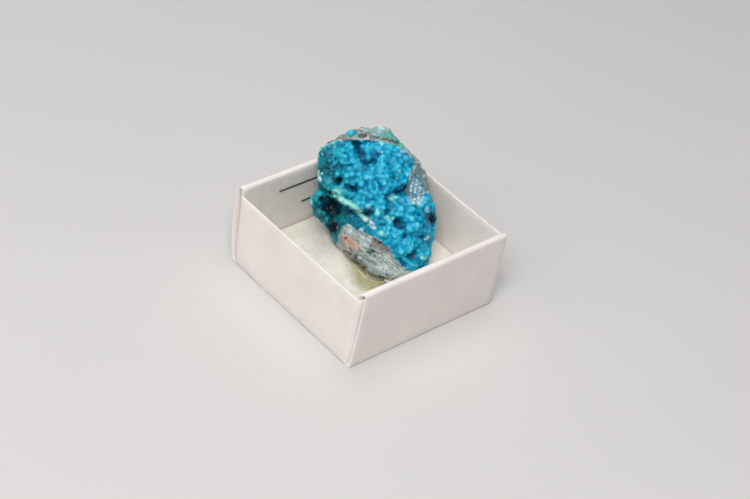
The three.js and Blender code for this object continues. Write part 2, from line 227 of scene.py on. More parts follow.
def buildCamera():
    data = bpy.data.cameras.new("photoCamera")
    data.lens = cameraPlan["lens"]
    data.sensor_width = cameraPlan["sensor"]
    data.clip_start, data.clip_end = cameraPlan["clip"]
    right = Vector(cameraPlan["right"]).normalized()
    up = Vector(cameraPlan["up"]).normalized()
    back = right.cross(up)
    turn = Matrix((right, up, back)).transposed().to_4x4()
    camera = addObject("photoCamera", data)
    camera.matrix_world = Matrix.Translation(toRow(cameraPlan["position"])[0]) @ turn
    bpy.context.scene.camera = camera


buildCamera()
print("camera set")

# Studio: pale floor, soft box from the front, weaker ones from the left and above, pale surroundings
studio = {
    "floor": "c9c7c5",
    "floorSize": 3.0,
    "floorCloud": 1.06,          # how much brighter the floor's broad clouds are
    "aim": (0.0, 0.0, 0.012),
    "worldColour": (0.93, 0.95, 1.0, 1.0),
    "worldStrength": 0.2,
    "lights": {
        "keySoftbox": {"at": (-0.34, -0.24, 0.6), "size": 0.34, "power": 4.0, "colour": (1, 0.985, 0.965)},
        "sideSoftbox": {"at": (-0.6, 0.05, 0.4), "size": 0.5, "power": 0.9, "colour": (1, 0.97, 0.96)},
        "topSoftbox": {"at": (0.05, 0.12, 0.7), "size": 0.4, "power": 1.6, "colour": (0.96, 0.98, 1)},
    },
}


def buildStudio():
    finish = Finish("paleFloor", {"Roughness": 0.75, "Specular IOR Level": 0.3})
    place = finish.place()
    cloud = finish.noise(place, 0.012, 2.0)
    shade = hexColour(studio["floor"])
    paler = (*(c * studio["floorCloud"] for c in shade[:3]), 1.0)
    finish.surface(Base_Color=finish.mix(cloud, shade, paler))
    half = studio["floorSize"] / 2
    corners = [(-half, -half, 0), (half, -half, 0), (half, half, 0), (-half, half, 0)]
    mesh = bpy.data.meshes.new("studioFloor")
    mesh.from_pydata(corners, [], [(0, 1, 2, 3)])
    mesh.materials.append(finish.material)
    addObject("studioFloor", mesh)
    for name, plan in studio["lights"].items():
        data = bpy.data.lights.new(name, "AREA")
        data.size = plan["size"]
        data.energy = plan["power"]
        data.color = plan["colour"]
        light = addObject(name, data)
        light.location = plan["at"]
        light.rotation_euler = (Vector(studio["aim"]) - light.location).to_track_quat("-Z", "Y").to_euler()
    world = bpy.data.worlds.new("studioWorld")
    world.use_nodes = True
    background = world.node_tree.nodes["Background"]
    background.inputs["Color"].default_value = studio["worldColour"]
    background.inputs["Strength"].default_value = studio["worldStrength"]
    bpy.context.scene.world = world


buildStudio()
bpy.context.scene.view_settings.view_transform = "Standard"
print("studio set")

# The tray, folded from one sheet of white card
tray = {
    "half": trayHalf,
    "height": 19.4,
    "card": 0.45,
    "doubleWall": 1.6,      # thickness of the folded front and back walls in all
    "underLap": 3.0,        # how far their sheet runs on under the base
    "bottomFold": 0.5,
    "cornerFold": 1.5,
    "tabLength": 9.0,
    "leftDrop": 1.9,        # how much lower the single left and right walls stand
    "rightDrop": 1.1,
    "backLean": 0.9,
    "rimInset": 0.25,
    "frontDrop": 0.35,      # how much lower the front wall stands than the back wall
    "endTaper": 1.0,        # how much shorter the front panel is at the rim of the left corner
    "endSpread": 0.45,      # how far the front panel's rim reaches out at the right corner
    "flare": 1.1,           # how far the back panel's free end springs out at the left corner
    "flareFade": 3.0,
    "waviness": 0.07,
    "nicks": [(2.6, 0.26), (-13.4, 0.22)],      # along the right wall's top edge: place and height
    "edgeRadius": 0.07,
    "creaseAngle": 35,
    "colour": "ede6e2",
    "shadeColour": "e6deda",
    "scuffColour": "b9b2ac",
    "fibreDepth": 0.012,
}


def cardFinish():
    finish = Finish("whiteCard", {"Specular IOR Level": 0.5, "Coat Roughness": 0.32})
    place = finish.place()
    fibres = finish.noise(place, 2.6, 6.0, 0.7)
    clouds = finish.noise(place, 0.11, 3.0)
    rub = finish.noise(place, 0.5, 4.0, 0.65)
    scuffs = finish.noise(finish.stretch(place, (0.4, 0.4, 3.0)), 1.2, 3.0, 0.6).between(0.66, 0.76)
    colour = finish.layered(
        hexColour(tray["colour"]),
        (clouds.between(0.3, 0.75), hexColour(tray["shadeColour"])),
        (scuffs * 0.12, hexColour(tray["scuffColour"])),
    )
    waves = finish.bump(clouds, 0.35, 0.5)
    relief = finish.bump(fibres, tray["fibreDepth"], 0.6, waves)
    return finish.surface(
        Base_Color=colour,
        Roughness=0.36 + rub * 0.16,
        Coat_Weight=0.1 + rub * 0.15,
        Normal=relief,
    )


def arc(centre, radius, start, stop, steps):
    turns = np.radians(np.linspace(start, stop, steps + 1))
    return [(centre[0] + radius * math.cos(t), centre[1] + radius * math.sin(t)) for t in turns]


def subdivide(path, longest):
    finer = [path[0]]
    for first, last in zip(path, path[1:]):
        count = max(1, math.ceil(math.dist(first, last) / longest))
        finer += [tuple(np.add(first, np.subtract(last, first) * i / count)) for i in range(1, count + 1)]
    return finer


# turns points about the back wall's bottom edge by its lean
def leanOut(points):
    angle = math.atan(tray["backLean"] / tray["height"])
    y = points[:, 1] - tray["half"]
    z = points[:, 2].copy()
    points[:, 1] = tray["half"] + y * math.cos(angle) + z * math.sin(angle)
    points[:, 2] = z * math.cos(angle) - y * math.sin(angle)
    return points


# A strip of card: a path across it, its thickness towards the path's left, and stations along its length.
# Gives the points as (station, path, side, 3) and the faces of the closed strip.
def cardStrip(path, thickness, stations, lift):
    path = np.array(path)
    run = np.gradient(path, axis=0)
    run /= np.linalg.norm(run, axis=1)[:, None]
    inner = path + np.stack([-run[:, 1], run[:, 0]], 1) * thickness
    points = np.array([[[lift(s, p), lift(s, q)] for p, q in zip(path, inner)] for s in stations], float)
    rows, columns = len(stations), len(path)
    index = np.arange(rows * columns * 2).reshape(rows, columns, 2)

    def patch(a, b, c, d):
        return [index[corner] for corner in (a, b, c, d)]

    faces = []
    for r in range(rows - 1):
        for side in (0, 1):
            faces += [
                patch((r, c, side), (r + 1, c, side), (r + 1, c + 1, side), (r, c + 1, side))
                for c in range(columns - 1)
            ]
        faces += [patch((r, c, 0), (r, c, 1), (r + 1, c, 1), (r + 1, c, 0)) for c in (0, columns - 1)]
    for r in (0, rows - 1):
        faces += [patch((r, c, 0), (r, c, 1), (r, c + 1, 1), (r, c + 1, 0)) for c in range(columns - 1)]
    return points, faces


# A front (-1) or back (1) wall: one sheet up, over a round rim and down again
def doubleWall(side):
    half, card = tray["half"], tray["card"]
    height = tray["height"] - (tray["frontDrop"] if side < 0 else 0)
    rim = tray["doubleWall"] / 2
    fold = tray["bottomFold"]
    top = height - rim
    path = [(half - tray["underLap"], 0.0)]
    path += arc((half - fold, fold), fold, -90, 0, 5)
    path += arc((half - rim, top), rim, 0, 180, 12)
    path += [(half - tray["doubleWall"], card + 0.03)]
    path = subdivide(path, 1.6)
    length = half - tray["rimInset"]
    stations = np.linspace(-length, length, 29)
    points, faces = cardStrip(path, card, stations, lambda s, p: (s, p[0], p[1]))
    x, y, z = points[..., 0], points[..., 1], points[..., 2]
    outer = ease(y, half - rim - 0.2, half - rim + 0.3)     # 1 on the outer sheet, 0 on the inner one
    level = np.clip(z / top, 0, 1)
    if side < 0:
        x += outer * tray["endTaper"] * level * ease(-x / length, 0.86, 1.0)
        x += outer * tray["endSpread"] * level * ease(x / length, 0.8, 1.0)
    else:
        swell = np.sin(math.pi * np.clip(z / height, 0, 1)) ** 0.8
        y += outer * tray["flare"] * swell * np.exp(-(x * side + half) / tray["flareFade"])
    wave = np.sin(x * 0.21 + side) * np.sin(z * 0.16 + 0.5)
    y += tray["waviness"] * wave * np.clip(z / 6, 0, 1)
    flat = points.reshape(-1, 3)
    if side > 0:
        flat = leanOut(flat)
    else:
        flat[:, 1] *= -1
    return flat, faces


# A left (-1) or right (1) wall: a single sheet with tabs that turn into the slots of the double walls
def sideWall(side, drop):
    half, card, fold = tray["half"], tray["card"], tray["cornerFold"]
    slotMiddle = half - tray["doubleWall"] / 2
    tabOuter = slotMiddle + card / 2
    corner = (half - fold, tabOuter - fold)
    tabEnd = corner[0] - tray["tabLength"]
    path = [(tabEnd, -tabOuter)]
    path += arc((corner[0], -corner[1]), fold, -90, 0, 8)
    path += arc(corner, fold, 0, 90, 8)
    path += [(tabEnd, tabOuter)]
    path = subdivide(path, 0.5)
    levels = np.linspace(tray["bottomFold"], tray["height"] - drop, 13)
    points, faces = cardStrip(path, card, levels, lambda s, p: (p[0], p[1], s))
    x, y, z = points[..., 0], points[..., 1], points[..., 2]
    wave = np.sin(y * 0.17 + side) * np.sin(z * 0.19)
    panel = x > half - 1.0
    x += np.where(panel, tray["waviness"] * wave, 0)
    if side > 0:
        atTop = np.clip((z - levels[-2]) / (levels[-1] - levels[-2]), 0, 1) * panel
        for nickY, nickHeight in tray["nicks"]:
            z += atTop * nickHeight * np.exp(-((y - nickY) / 0.35) ** 2)
            z -= atTop * 0.7 * nickHeight * np.exp(-((y - nickY + 1.0) / 0.6) ** 2)
    flat = points.reshape(-1, 3)
    if side < 0:
        flat[:, :2] *= -1
    flat[:, 1] += np.where(flat[:, 1] > 0, flat[:, 2] * tray["backLean"] / tray["height"], 0)
    return flat, faces


def trayBase():
    half, card, fold = tray["half"], tray["card"], tray["bottomFold"]
    path = [(-half, fold + 0.2)]
    path += arc((-half + fold, fold), fold, 180, 270, 5)
    path += arc((half - fold, fold), fold, -90, 0, 5)
    path += [(half, fold + 0.2)]
    path = subdivide(path, 2.5)
    reach = half - tray["doubleWall"] + 0.3
    points, faces = cardStrip(path, card, np.linspace(-reach, reach, 15), lambda s, p: (p[0], s, p[1]))
    return points.reshape(-1, 3), faces


def buildTray():
    strips = [
        doubleWall(1),
        doubleWall(-1),
        sideWall(-1, tray["leftDrop"]),
        sideWall(1, tray["rightDrop"]),
        trayBase(),
    ]
    allPoints, allFaces = [], []
    for points, faces in strips:
        start = sum(len(p) for p in allPoints)
        allPoints.append(points)
        allFaces += [[i + start for i in face] for face in faces]
    card = cardFinish()
    piece = meshPiece("foldedTray", np.concatenate(allPoints), allFaces, card, "white_card", "card_tray")
    shape = bmesh.new()
    shape.from_mesh(piece.data)
    bmesh.ops.recalc_face_normals(shape, faces=shape.faces)
    shape.to_mesh(piece.data)
    shape.free()
    softenEdges(piece, tray["edgeRadius"], tray["creaseAngle"])


buildTray()
print("tray folded")

# The ivory foam pad in the bottom of the tray
pad = {
    "reachX": 19.4,
    "reachY": 18.25,
    "bottom": 0.6,
    "top": 4.9,
    "edge": 0.35,
    "unevenness": 0.12,
    "steps": 48,                # cuts across each side of the pad's mesh
    "colour": "e4e0d6",
    "shadeColour": "d4cfc4",
    "poreColour": "b3ada0",
    "speckColour": "eeebe2",
}


def foamFinish():
    finish = Finish("ivoryFoam", {"Specular IOR Level": 0.25, "Sheen Weight": 0.15, "Sheen Roughness": 0.6})
    place = finish.place()
    pores = finish.cells(place, 2.1)
    grain = finish.noise(place, 3.2, 5.0, 0.7)
    clouds = finish.noise(place, 0.18, 4.0, 0.6)
    specks = finish.noise(place, 1.9, 3.0).between(0.55, 0.66)
    crumbs = finish.noise(place, 2.3, 3.0, 0.6).between(0.55, 0.64)
    dark = hexColour(pad["poreColour"])
    colour = finish.layered(
        hexColour(pad["colour"]),
        (clouds.between(0.35, 0.7), hexColour(pad["shadeColour"])),
        (specks * 0.55, hexColour(pad["speckColour"])),
        (crumbs * 0.32, dark),
        ((1 - pores.between(0.05, 0.3)) * 0.35, dark),
    )
    coarse = finish.bump(pores, 0.16, 0.5)
    return finish.surface(
        Base_Color=colour,
        Roughness=0.78 + grain * 0.2,
        Normal=finish.bump(grain, 0.08, 0.6, coarse),
    )


def buildPad():
    steps = pad["steps"]
    shape = bmesh.new()
    bmesh.ops.create_cube(shape, size=2.0)
    for vert in shape.verts:
        vert.co.x *= pad["reachX"]
        vert.co.y *= pad["reachY"]
        vert.co.z = pad["top"] if vert.co.z > 0 else pad["bottom"]
    bmesh.ops.bevel(shape, geom=shape.edges[:], offset=pad["edge"], segments=3, profile=0.6, affect="EDGES")
    for axis, reach in ((0, pad["reachX"]), (1, pad["reachY"])):
        for i in range(1, steps):
            normal = Vector((axis == 0, axis == 1, 0))
            cut = normal * (-reach + 2 * reach * i / steps)
            parts = shape.verts[:] + shape.edges[:] + shape.faces[:]
            bmesh.ops.bisect_plane(shape, geom=parts, plane_co=cut, plane_no=normal)
    flatTop = pad["top"] - 0.05
    for vert in shape.verts:
        if vert.co.z > flatTop:
            x, y = vert.co.x, vert.co.y
            ripple = math.sin(x * 0.55 + 1.3) * math.sin(y * 0.47) + 0.5 * math.sin(x * 1.1 - y * 0.9)
            vert.co.z -= pad["unevenness"] * (0.5 + 0.33 * ripple)
    points = [tuple(vert.co) for vert in shape.verts]
    shape.verts.index_update()
    faces = [[vert.index for vert in face.verts] for face in shape.faces]
    shape.free()
    piece = meshPiece("foamLiner", points, faces, foamFinish(), "ivory_foam", "foam_pad")


buildPad()
print("pad laid")

# The clear label on the inside of the back wall, bare but for two plain ruled lines
label = {
    "width": 25.0,
    "height": 12.0,
    "top": 18.4,
    "thickness": 0.12,
    "gap": 0.08,
    "cornerRadius": 1.2,
    "rules": [(-9.9, 15.2, 15.0), (-3.3, 10.2, 9.0)],     # left end, height and length of each line
    "ruleWidth": 0.42,
    "ruleFaces": (0.02, 0.005),     # how far a line's front and back stand before the film
    "ruleColours": ("2c2b2d", "4a484a"),
    "creaseAngle": 30,
}


def filmFinish():
    finish = Finish("clearFilm", {"Specular IOR Level": 0.6, "Base Color": (0.92, 0.93, 0.92, 1.0)})
    haze = finish.noise(finish.place(), 0.9, 3.0)
    return finish.surface(Alpha=0.1 + haze * 0.1, Roughness=0.12 + haze * 0.15)


def rulesFinish():
    finish = Finish("greyRules", {"Specular IOR Level": 0.4})
    wear = finish.noise(finish.place(), 3.5, 4.0, 0.7)
    colour = finish.mix(wear.between(0.35, 0.75), *map(hexColour, label["ruleColours"]))
    return finish.surface(Base_Color=colour, Roughness=0.45 + wear * 0.1)


# A flat plate standing on the inside of the leaning wall, from its outline as (x, z)
def wallPlate(name, outline, front, back, finish, *replaced):
    count = len(outline)
    points = [(x, front, z) for x, z in outline] + [(x, back, z) for x, z in outline]
    faces = [list(range(count)), list(range(2 * count - 1, count - 1, -1))]
    faces += [[i, i + count, (i + 1) % count + count, (i + 1) % count] for i in range(count)]
    piece = meshPiece(name, leanOut(np.array(points)), faces, finish, "clear_film", *replaced)
    piece.data.set_sharp_from_angle(angle=math.radians(label["creaseAngle"]))


def roundedOutline(left, right, low, high, radius):
    corners = [(right, low, -90), (right, high, 0), (left, high, 90), (left, low, 180)]
    outline = []
    for x, z, start in corners:
        centre = (x - radius if x == right else x + radius, z - radius if z == high else z + radius)
        outline += arc(centre, radius, start, start + 90, 6)
    return outline


def buildLabel():
    wall = tray["half"] - tray["doubleWall"] - label["gap"]
    front = wall - label["thickness"]
    reach = label["width"] / 2
    bottom = label["top"] - label["height"]
    film = roundedOutline(-reach, reach, bottom, label["top"], label["cornerRadius"])
    wallPlate("labelFilm", film, front, wall, filmFinish(), "clear_label")
    printed = rulesFinish()
    width = label["ruleWidth"]
    near, far = (front - stand for stand in label["ruleFaces"])
    for number, (left, height, length) in enumerate(label["rules"]):
        line = roundedOutline(left, left + length, height - width / 2, height + width / 2, width / 2.2)
        wallPlate(f"labelRule{number + 1}", line, near, far, printed)


buildLabel()
print("label placed")

# The stone, in its own frame: u right along the blue face, v up the face and w out of it, in millimetres
stone = {
    "azimuth": -47.2,
    "elevation": 38.5,
    "roll": 11.1,
    "frameHeight": 10.0,
    "foot": 4.95,
    "step": 0.21,                # grid step of the level set
    "low": (-13.6, -9.6, -17.0),
    "high": (16.4, 26.6, 7.2),
    "seed": 7,
}


def turned(azimuth, elevation, roll):
    a, e, r = (math.radians(angle) for angle in (azimuth, elevation, roll))
    out = np.array([math.sin(a) * math.cos(e), -math.cos(a) * math.cos(e), math.sin(e)])
    level = np.array([math.cos(a), math.sin(a), 0])
    rise = np.cross(out, level)
    right = level * math.cos(r) + rise * math.sin(r)
    return np.array([right, np.cross(out, right), out])


stoneAxes = turned(stone["azimuth"], stone["elevation"], stone["roll"])
stoneOrigin = np.array([0, 0, stone["frameHeight"]])


def fromTray(points):
    return (np.array(points, float) - stoneOrigin) @ stoneAxes.T


def toTray(points):
    return np.asarray(points) @ stoneAxes + stoneOrigin


# The broken rock under the crust: a convex block, two blocks on its crest and three layers on its face
stoneFoot = [
    (-1.5, 5.4), (-1.9, 1.3), (-1.7, -2.4), (-1.0, -6.0), (0.1, -8.0), (3.0, -10.5), (7.5, -11.0),
    (12.0, -6.0), (14.0, -1.0), (14.0, 7.0), (10.5, 13.0), (5.8, 14.0), (1.8, 11.2), (-0.8, 7.6),
]
rockBlock = np.concatenate([
    fromTray([(x, y, stone["foot"] - 0.3) for x, y in stoneFoot]),
    fromTray([(15.2, 3.5, 15.0), (14.8, -2.5, 12.0), (12.5, 13.0, 17.0), (6.0, 16.2, 15.0)]),
    np.array([
        (-10.4, 19.6, -0.4), (-8.6, 22.2, -0.8), (-6.6, 23.2, -1.0), (-4.4, 23.6, -1.6),
        (-0.6, 24.4, -2.2), (2.6, 24.7, -1.8), (4.7, 24.3, -2.0), (7.6, 21.6, -2.2), (9.3, 19.9, -2.6),
        (10.8, 18.1, -3.0), (12.2, 15.6, -3.4), (12.8, 11.5, -3.8), (14.2, 5.2, -3.0),
        (12.9, -1.8, -2.6), (12.3, -4.4, -2.0), (-10.6, 14.0, -1.2), (-8.9, 4.6, -5.6),
        (-8.0, 2.7, -5.8), (-6.8, 6.2, -3.2), (-5.0, 4.4, -1.2), (-2.0, 3.4, 1.0), (0.5, 2.3, 2.6),
        (4.7, 0.1, 3.4), (6.6, -3.2, 2.6), (9.0, -5.6, 0.6),
    ]),
])
crestBlocks = [
    np.array([
        (-4.6, 23.4, -0.6), (-3.2, 24.3, -1.2), (-1.2, 25.0, -1.8), (0.1, 24.9, -2.2),
        (0.4, 23.6, -1.0), (-4.2, 22.4, 0.0), (0.2, 22.6, 0.2), (-4.4, 22.6, -3.0), (0.2, 23.6, -3.4),
    ]),
    np.array([
        (1.0, 25.0, -1.8), (2.6, 25.5, -1.8), (4.6, 24.9, -2.0), (5.6, 23.8, -1.8), (1.0, 23.4, -0.6),
        (5.2, 22.8, -0.4), (1.2, 24.0, -3.6), (5.2, 23.2, -3.6), (7.4, 22.0, -1.9), (6.9, 21.4, -1.0),
    ]),
]
rockLayers = [
    (6.4, 7.7, [(-2.4, 3.6), (-2.5, 1.2), (-2.3, -2.6), (-1.5, -5.8), (-0.5, -7.8), (3, -7), (3, 2)]),
    (8.6, 10.2, [(-2.0, 4.4), (-2.3, 1.4), (-1.9, -1.4), (-0.8, -4.0), (3, -4.4), (3, 3)]),
    (11.0, 12.5, [(-1.7, 2.4), (-1.3, -1.0), (-0.4, -3.4), (1, -4.9), (4, -3), (4, 1)]),
]
pinkBlock = np.array([
    (-5.6, 2.6, -2.4), (-3.0, 1.8, -0.8), (-2.4, 0.2, -1.0), (-3.4, -0.9, -1.9), (-5.2, 0.4, -3.4),
    (-3.6, 0.8, -4.5),
])

# How the rock's blocks melt together, and the heights of its unevenness from broad to fine
rock = {
    "blend": 0.25,
    "layerInset": 0.3,
    "swell": 0.42,
    "ridges": 0.32,
    "grain": 0.12,
    "backSteps": 0.5,
}

# The two lobes of the crust
lobes = [
    np.array([
        (-10.3, 19.7, 0.6), (-8.6, 21.6, 0.6), (-2.7, 22.5, 0.8), (0.5, 22.4, 1.0), (6.0, 21.9, 0.6),
        (7.5, 20.9, 0.5), (9.0, 19.4, 0.2), (9.5, 16.8, 0.8), (9.2, 13.8, 1.4), (7.3, 11.9, 2.6),
        (4.7, 10.6, 3.6), (-10.9, 17.8, 0.5), (-10.9, 13.9, 0.8), (-10.4, 12.0, 1.0), (-9.4, 11.5, 2.0),
        (-6.6, 10.4, 3.2), (-4.4, 8.7, 4.0), (-2.4, 7.2, 4.4), (-1.0, 5.6, 4.5), (0.6, 5.0, 4.4),
        (-4.0, 15.0, 4.0), (0.0, 13.5, 5.0), (3.0, 17.0, 4.0), (-1.0, 19.5, 2.8), (4.0, 12.5, 4.6),
        (6.2, 16.5, 3.0), (-9.0, 19.0, -3.0), (6.5, 19.0, -3.5), (-8.6, 13.5, -1.5), (-3.2, 10.4, 0.5),
        (0.8, 7.0, 1.4), (7.5, 13.0, -2.0),
    ]),
    np.array([
        (1.6, 10.2, 4.0), (5.3, 10.6, 3.5), (7.9, 10.2, 3.0), (10.0, 9.2, 2.2), (12.1, 11.0, -0.6),
        (14.0, 10.3, -0.8), (14.6, 8.6, -0.8), (14.8, 6.7, -0.8), (14.8, 5.0, -1.0), (13.8, 3.3, -0.8),
        (13.1, 1.4, -0.3), (12.6, -1.7, 0.0), (12.2, -3.9, 0.3), (11.2, -5.4, 0.8), (9.4, -5.7, 1.4),
        (7.4, -3.9, 2.8), (5.8, -1.7, 3.8), (5.0, 0.3, 4.3), (3.6, 1.4, 4.3), (0.8, 2.4, 3.8),
        (-1.4, 3.8, 2.8), (0.0, 6.0, 4.4), (6.0, 7.0, 5.0), (9.0, 3.0, 4.5), (9.0, -1.0, 3.8),
        (11.8, 6.0, 2.4), (3.0, 8.0, -2.0), (12.0, 8.5, -4.0), (11.5, -2.0, -3.5), (3.0, 3.0, -1.0),
    ]),
]

# What stands out of the crust and what is sunk in it. A place is u, v; heights come from the surface.
crust = {
    "thinned": 0.3,              # the lobes are drawn in by this before the bubbles go on
    "swell": 0.55,               # height of the slow unevenness of the lobes
    "ripple": 0.25,              # height of their finer unevenness
    "lobeBlur": 0.8,
    "blend": {                   # how softly each form melts into what is there
        "lobes": 0.6, "crust": 0.2, "knobs": 0.3, "sunk": 0.4, "hollows": 0.5, "ledge": 0.12,
        "bubbles": 0.28, "columns": 0.06,
    },
    "depth": 3.6,                # how far back the crust reaches round the edge of the stone
    "depthLeft": 4.5,            # how much farther it reaches at the left
    "knobs": [                   # u, v, w and radius
        ((-10.5, 9.3, -0.6), 1.3), ((-9.9, 7.3, -1.2), 1.3), ((-9.9, 10.6, -0.6), 1.0),
        ((-8.6, 8.2, -2.0), 1.9), ((-9.2, 6.4, -1.9), 1.2), ((-3.5, 23.6, -0.7), 1.0),
    ],
    "knobEdge": -8.6,            # to the left of this the knobs keep their bubbles
    "troughs": [                 # radius, then places along the trough
        (0.9, [(-2.5, 21.6), (-1.9, 20.1), (-1.3, 18.6), (-0.3, 17.3)]),
        (0.65, [(-0.3, 17.3), (0.9, 17.5), (1.8, 18.5), (2.4, 19.3)]),
        (0.8, [(-6.4, 13.2), (-5.7, 14.0)]),
        (0.7, [(-4.3, 12.6), (-2.9, 11.9)]),
        (0.5, [(-4.6, 12.5), (-2.4, 11.8), (-0.4, 12.0)]),
        (0.6, [(8.2, 12.5), (6.0, 11.3), (3.9, 10.0)]),
        (0.4, [(1.2, 15.2), (2.2, 13.6), (3.0, 11.9), (3.6, 10.4)]),
        (0.4, [(-7.6, 18.9), (-6.4, 18.0), (-5.4, 16.4), (-5.6, 15.2)]),
        (0.35, [(4.6, 17.3), (4.9, 15.6), (5.6, 13.6)]),
        (0.65, [(-0.3, 7.0), (0.6, 6.7)]),
        (0.5, [(4.4, 9.0), (4.0, 7.2), (4.9, 5.6)]),
        (0.4, [(8.2, 8.6), (8.3, 6.8), (9.6, 6.3), (11.4, 6.6)]),
        (0.45, [(7.5, 2.1), (8.0, 1.8)]),
        (0.45, [(11.3, 1.9), (11.9, 1.6)]),
        (0.35, [(7.0, 0.2), (8.0, -1.9), (9.6, -1.7)]),
    ],
    "hollows": [                 # u, v, the half sizes across the face and the depth
        (0.1, 19.5, 2.3, 2.3, 0.9), (-4.2, 12.6, 2.0, 0.9, 0.7), (-7.6, 15.2, 1.8, 2.6, 0.35),
        (6.7, 4.4, 1.9, 1.3, 1.15), (13.4, 5.7, 1.4, 0.85, 1.9), (9.6, -1.8, 2.6, 1.4, 0.5),
        (-5.8, 13.7, 0.7, 0.6, 1.2), (8.3, 11.3, 0.9, 1.2, 0.6), (7.6, 1.8, 0.7, 0.5, 0.8),
        (11.3, 1.8, 0.6, 0.5, 0.8), (0.3, 7.0, 0.9, 0.5, 1.1),
    ],
    "pits": [                    # u, v, w and the half sizes
        ((-8.0, 8.3, 1.0), (2.4, 1.9, 2.9)), ((-9.6, 9.9, 1.4), (1.0, 0.8, 1.9)),
        ((-7.5, 3.9, -2.2), (1.55, 1.3, 3.0)),
    ],
    "bubbles": [                 # the large ones: u, v, radius
        (0.2, 18.4, 0.92), (3.3, 16.7, 0.74), (3.2, 18.3, 0.8), (-2.4, 16.4, 0.78), (-1.7, 14.8, 0.7),
        (-0.3, 14.2, 0.68), (-1.3, 12.9, 0.76), (-3.1, 13.1, 0.72), (-1.3, 11.2, 0.72),
        (-3.2, 10.6, 0.76), (-0.8, 9.8, 0.62), (-4.8, 18.6, 0.56), (-4.1, 17.3, 0.5),
        (-5.0, 13.4, 0.46), (1.0, 15.9, 0.7), (-0.5, 16.3, 0.6), (4.0, 14.4, 0.72), (5.7, 15.9, 0.62),
        (5.5, 18.0, 0.72), (4.2, 19.5, 0.76), (4.8, 20.7, 0.8), (6.8, 14.3, 0.72), (3.7, 11.2, 0.56),
        (3.5, 12.9, 0.62), (-3.7, 21.6, 0.66), (-5.2, 19.9, 0.62), (-6.3, 15.0, 0.62),
        (-8.6, 15.4, 0.56), (0.0, 19.9, 0.86), (-1.1, 20.8, 0.62), (0.9, 21.7, 0.7), (1.8, 20.6, 0.6),
        (0.1, 8.2, 0.62), (2.0, 6.7, 0.76), (4.4, 6.0, 0.5), (3.2, 7.6, 0.72), (2.8, 9.2, 0.9),
        (6.9, 7.5, 0.9), (5.8, 8.7, 0.72), (7.3, 9.4, 0.8), (9.4, 7.5, 0.72), (10.9, 8.2, 0.78),
        (12.9, 9.9, 0.8), (13.6, 8.4, 0.7), (12.4, 7.6, 0.62), (7.1, 4.5, 0.72), (6.0, 3.9, 0.62),
        (6.1, 5.2, 0.5), (9.2, 5.5, 0.82), (10.3, 4.2, 0.72), (9.0, 3.3, 0.7), (5.8, 2.1, 0.62),
        (8.1, 1.1, 0.5), (9.8, 1.2, 0.56), (8.7, -0.8, 0.68), (3.0, 2.4, 0.72), (1.6, 3.6, 0.5),
        (1.0, 4.7, 0.42), (3.3, 5.0, 0.56), (7.7, -2.7, 0.52), (9.2, -4.0, 0.52), (10.1, -4.8, 0.5),
        (11.2, -0.1, 0.52), (11.4, -2.5, 0.6),
    ],
    "bubbleRise": 0.06,          # how far a bubble's middle stands over the surface, by its radius
    "bubbleGrowth": 1.08,
    "fill": {"radius": (0.42, 0.78), "spacing": 0.72, "rise": -0.12},
    "beads": {"radius": (0.2, 0.34), "spacing": 0.98, "rise": -0.05},
    "columnRadius": 0.42,
    "columnSize": (0.95, 1.0, 1.3),
    "columnMiddle": (10.2, 12.0),
    "columnPitch": 0.86,
    "columnTurn": -8.0,
    "columnRows": 12,            # rows tried to each side of the middle
    "columnWander": 0.12,
    "ledge": [
        (-8.7, 11.2), (-7.6, 10.8), (-6.5, 10.1), (-4.5, 9.2), (-3.2, 8.7), (-2.4, 7.9), (-1.5, 6.8),
        (-0.8, 5.9), (0.4, 5.4),
    ],
    "ledgeRadius": 0.66,
    "ledgeWander": 0.18,
}

# Where the crust lies on the face, the recess under its ledge and the patch of pale columns, in u and v
crustOutline = [
    (-13.0, 12.0), (-11.4, 20.2), (-9.7, 21.1), (-6.6, 22.3), (-2.6, 22.3), (1.7, 22.2), (5.0, 21.5),
    (8.0, 20.4), (9.8, 18.0), (9.5, 15.4), (8.4, 12.6), (7.9, 11.6), (8.9, 9.9), (12.1, 11.3),
    (16.0, 11.0), (16.0, -7.0), (10.4, -6.3), (8.2, -5.0), (6.0, -3.1), (4.6, -0.6), (1.7, 1.7),
    (-1.5, 3.0), (-4.4, 4.2), (-5.4, 4.0), (-5.9, 2.6), (-6.4, 1.0), (-6.9, 0.2), (-13.0, 0.4),
]
recessOutline = [
    (-11.0, 11.4), (-8.4, 11.0), (-6.4, 9.8), (-3.0, 8.2), (-1.2, 6.0), (0.4, 4.8), (-1.6, 3.0),
    (-7.0, 0.0), (-9.0, 3.0), (-9.4, 6.4),
]
smoothOutline = [(4.6, -0.2), (6.2, 0.8), (7.2, -1.5), (8.6, -4.4), (7.6, -4.9), (6.0, -3.2)]
columnOutline = [(8.9, 15.6), (10.9, 14.0), (12.2, 11.4), (11.4, 8.6), (9.2, 8.6), (8.6, 12.0)]

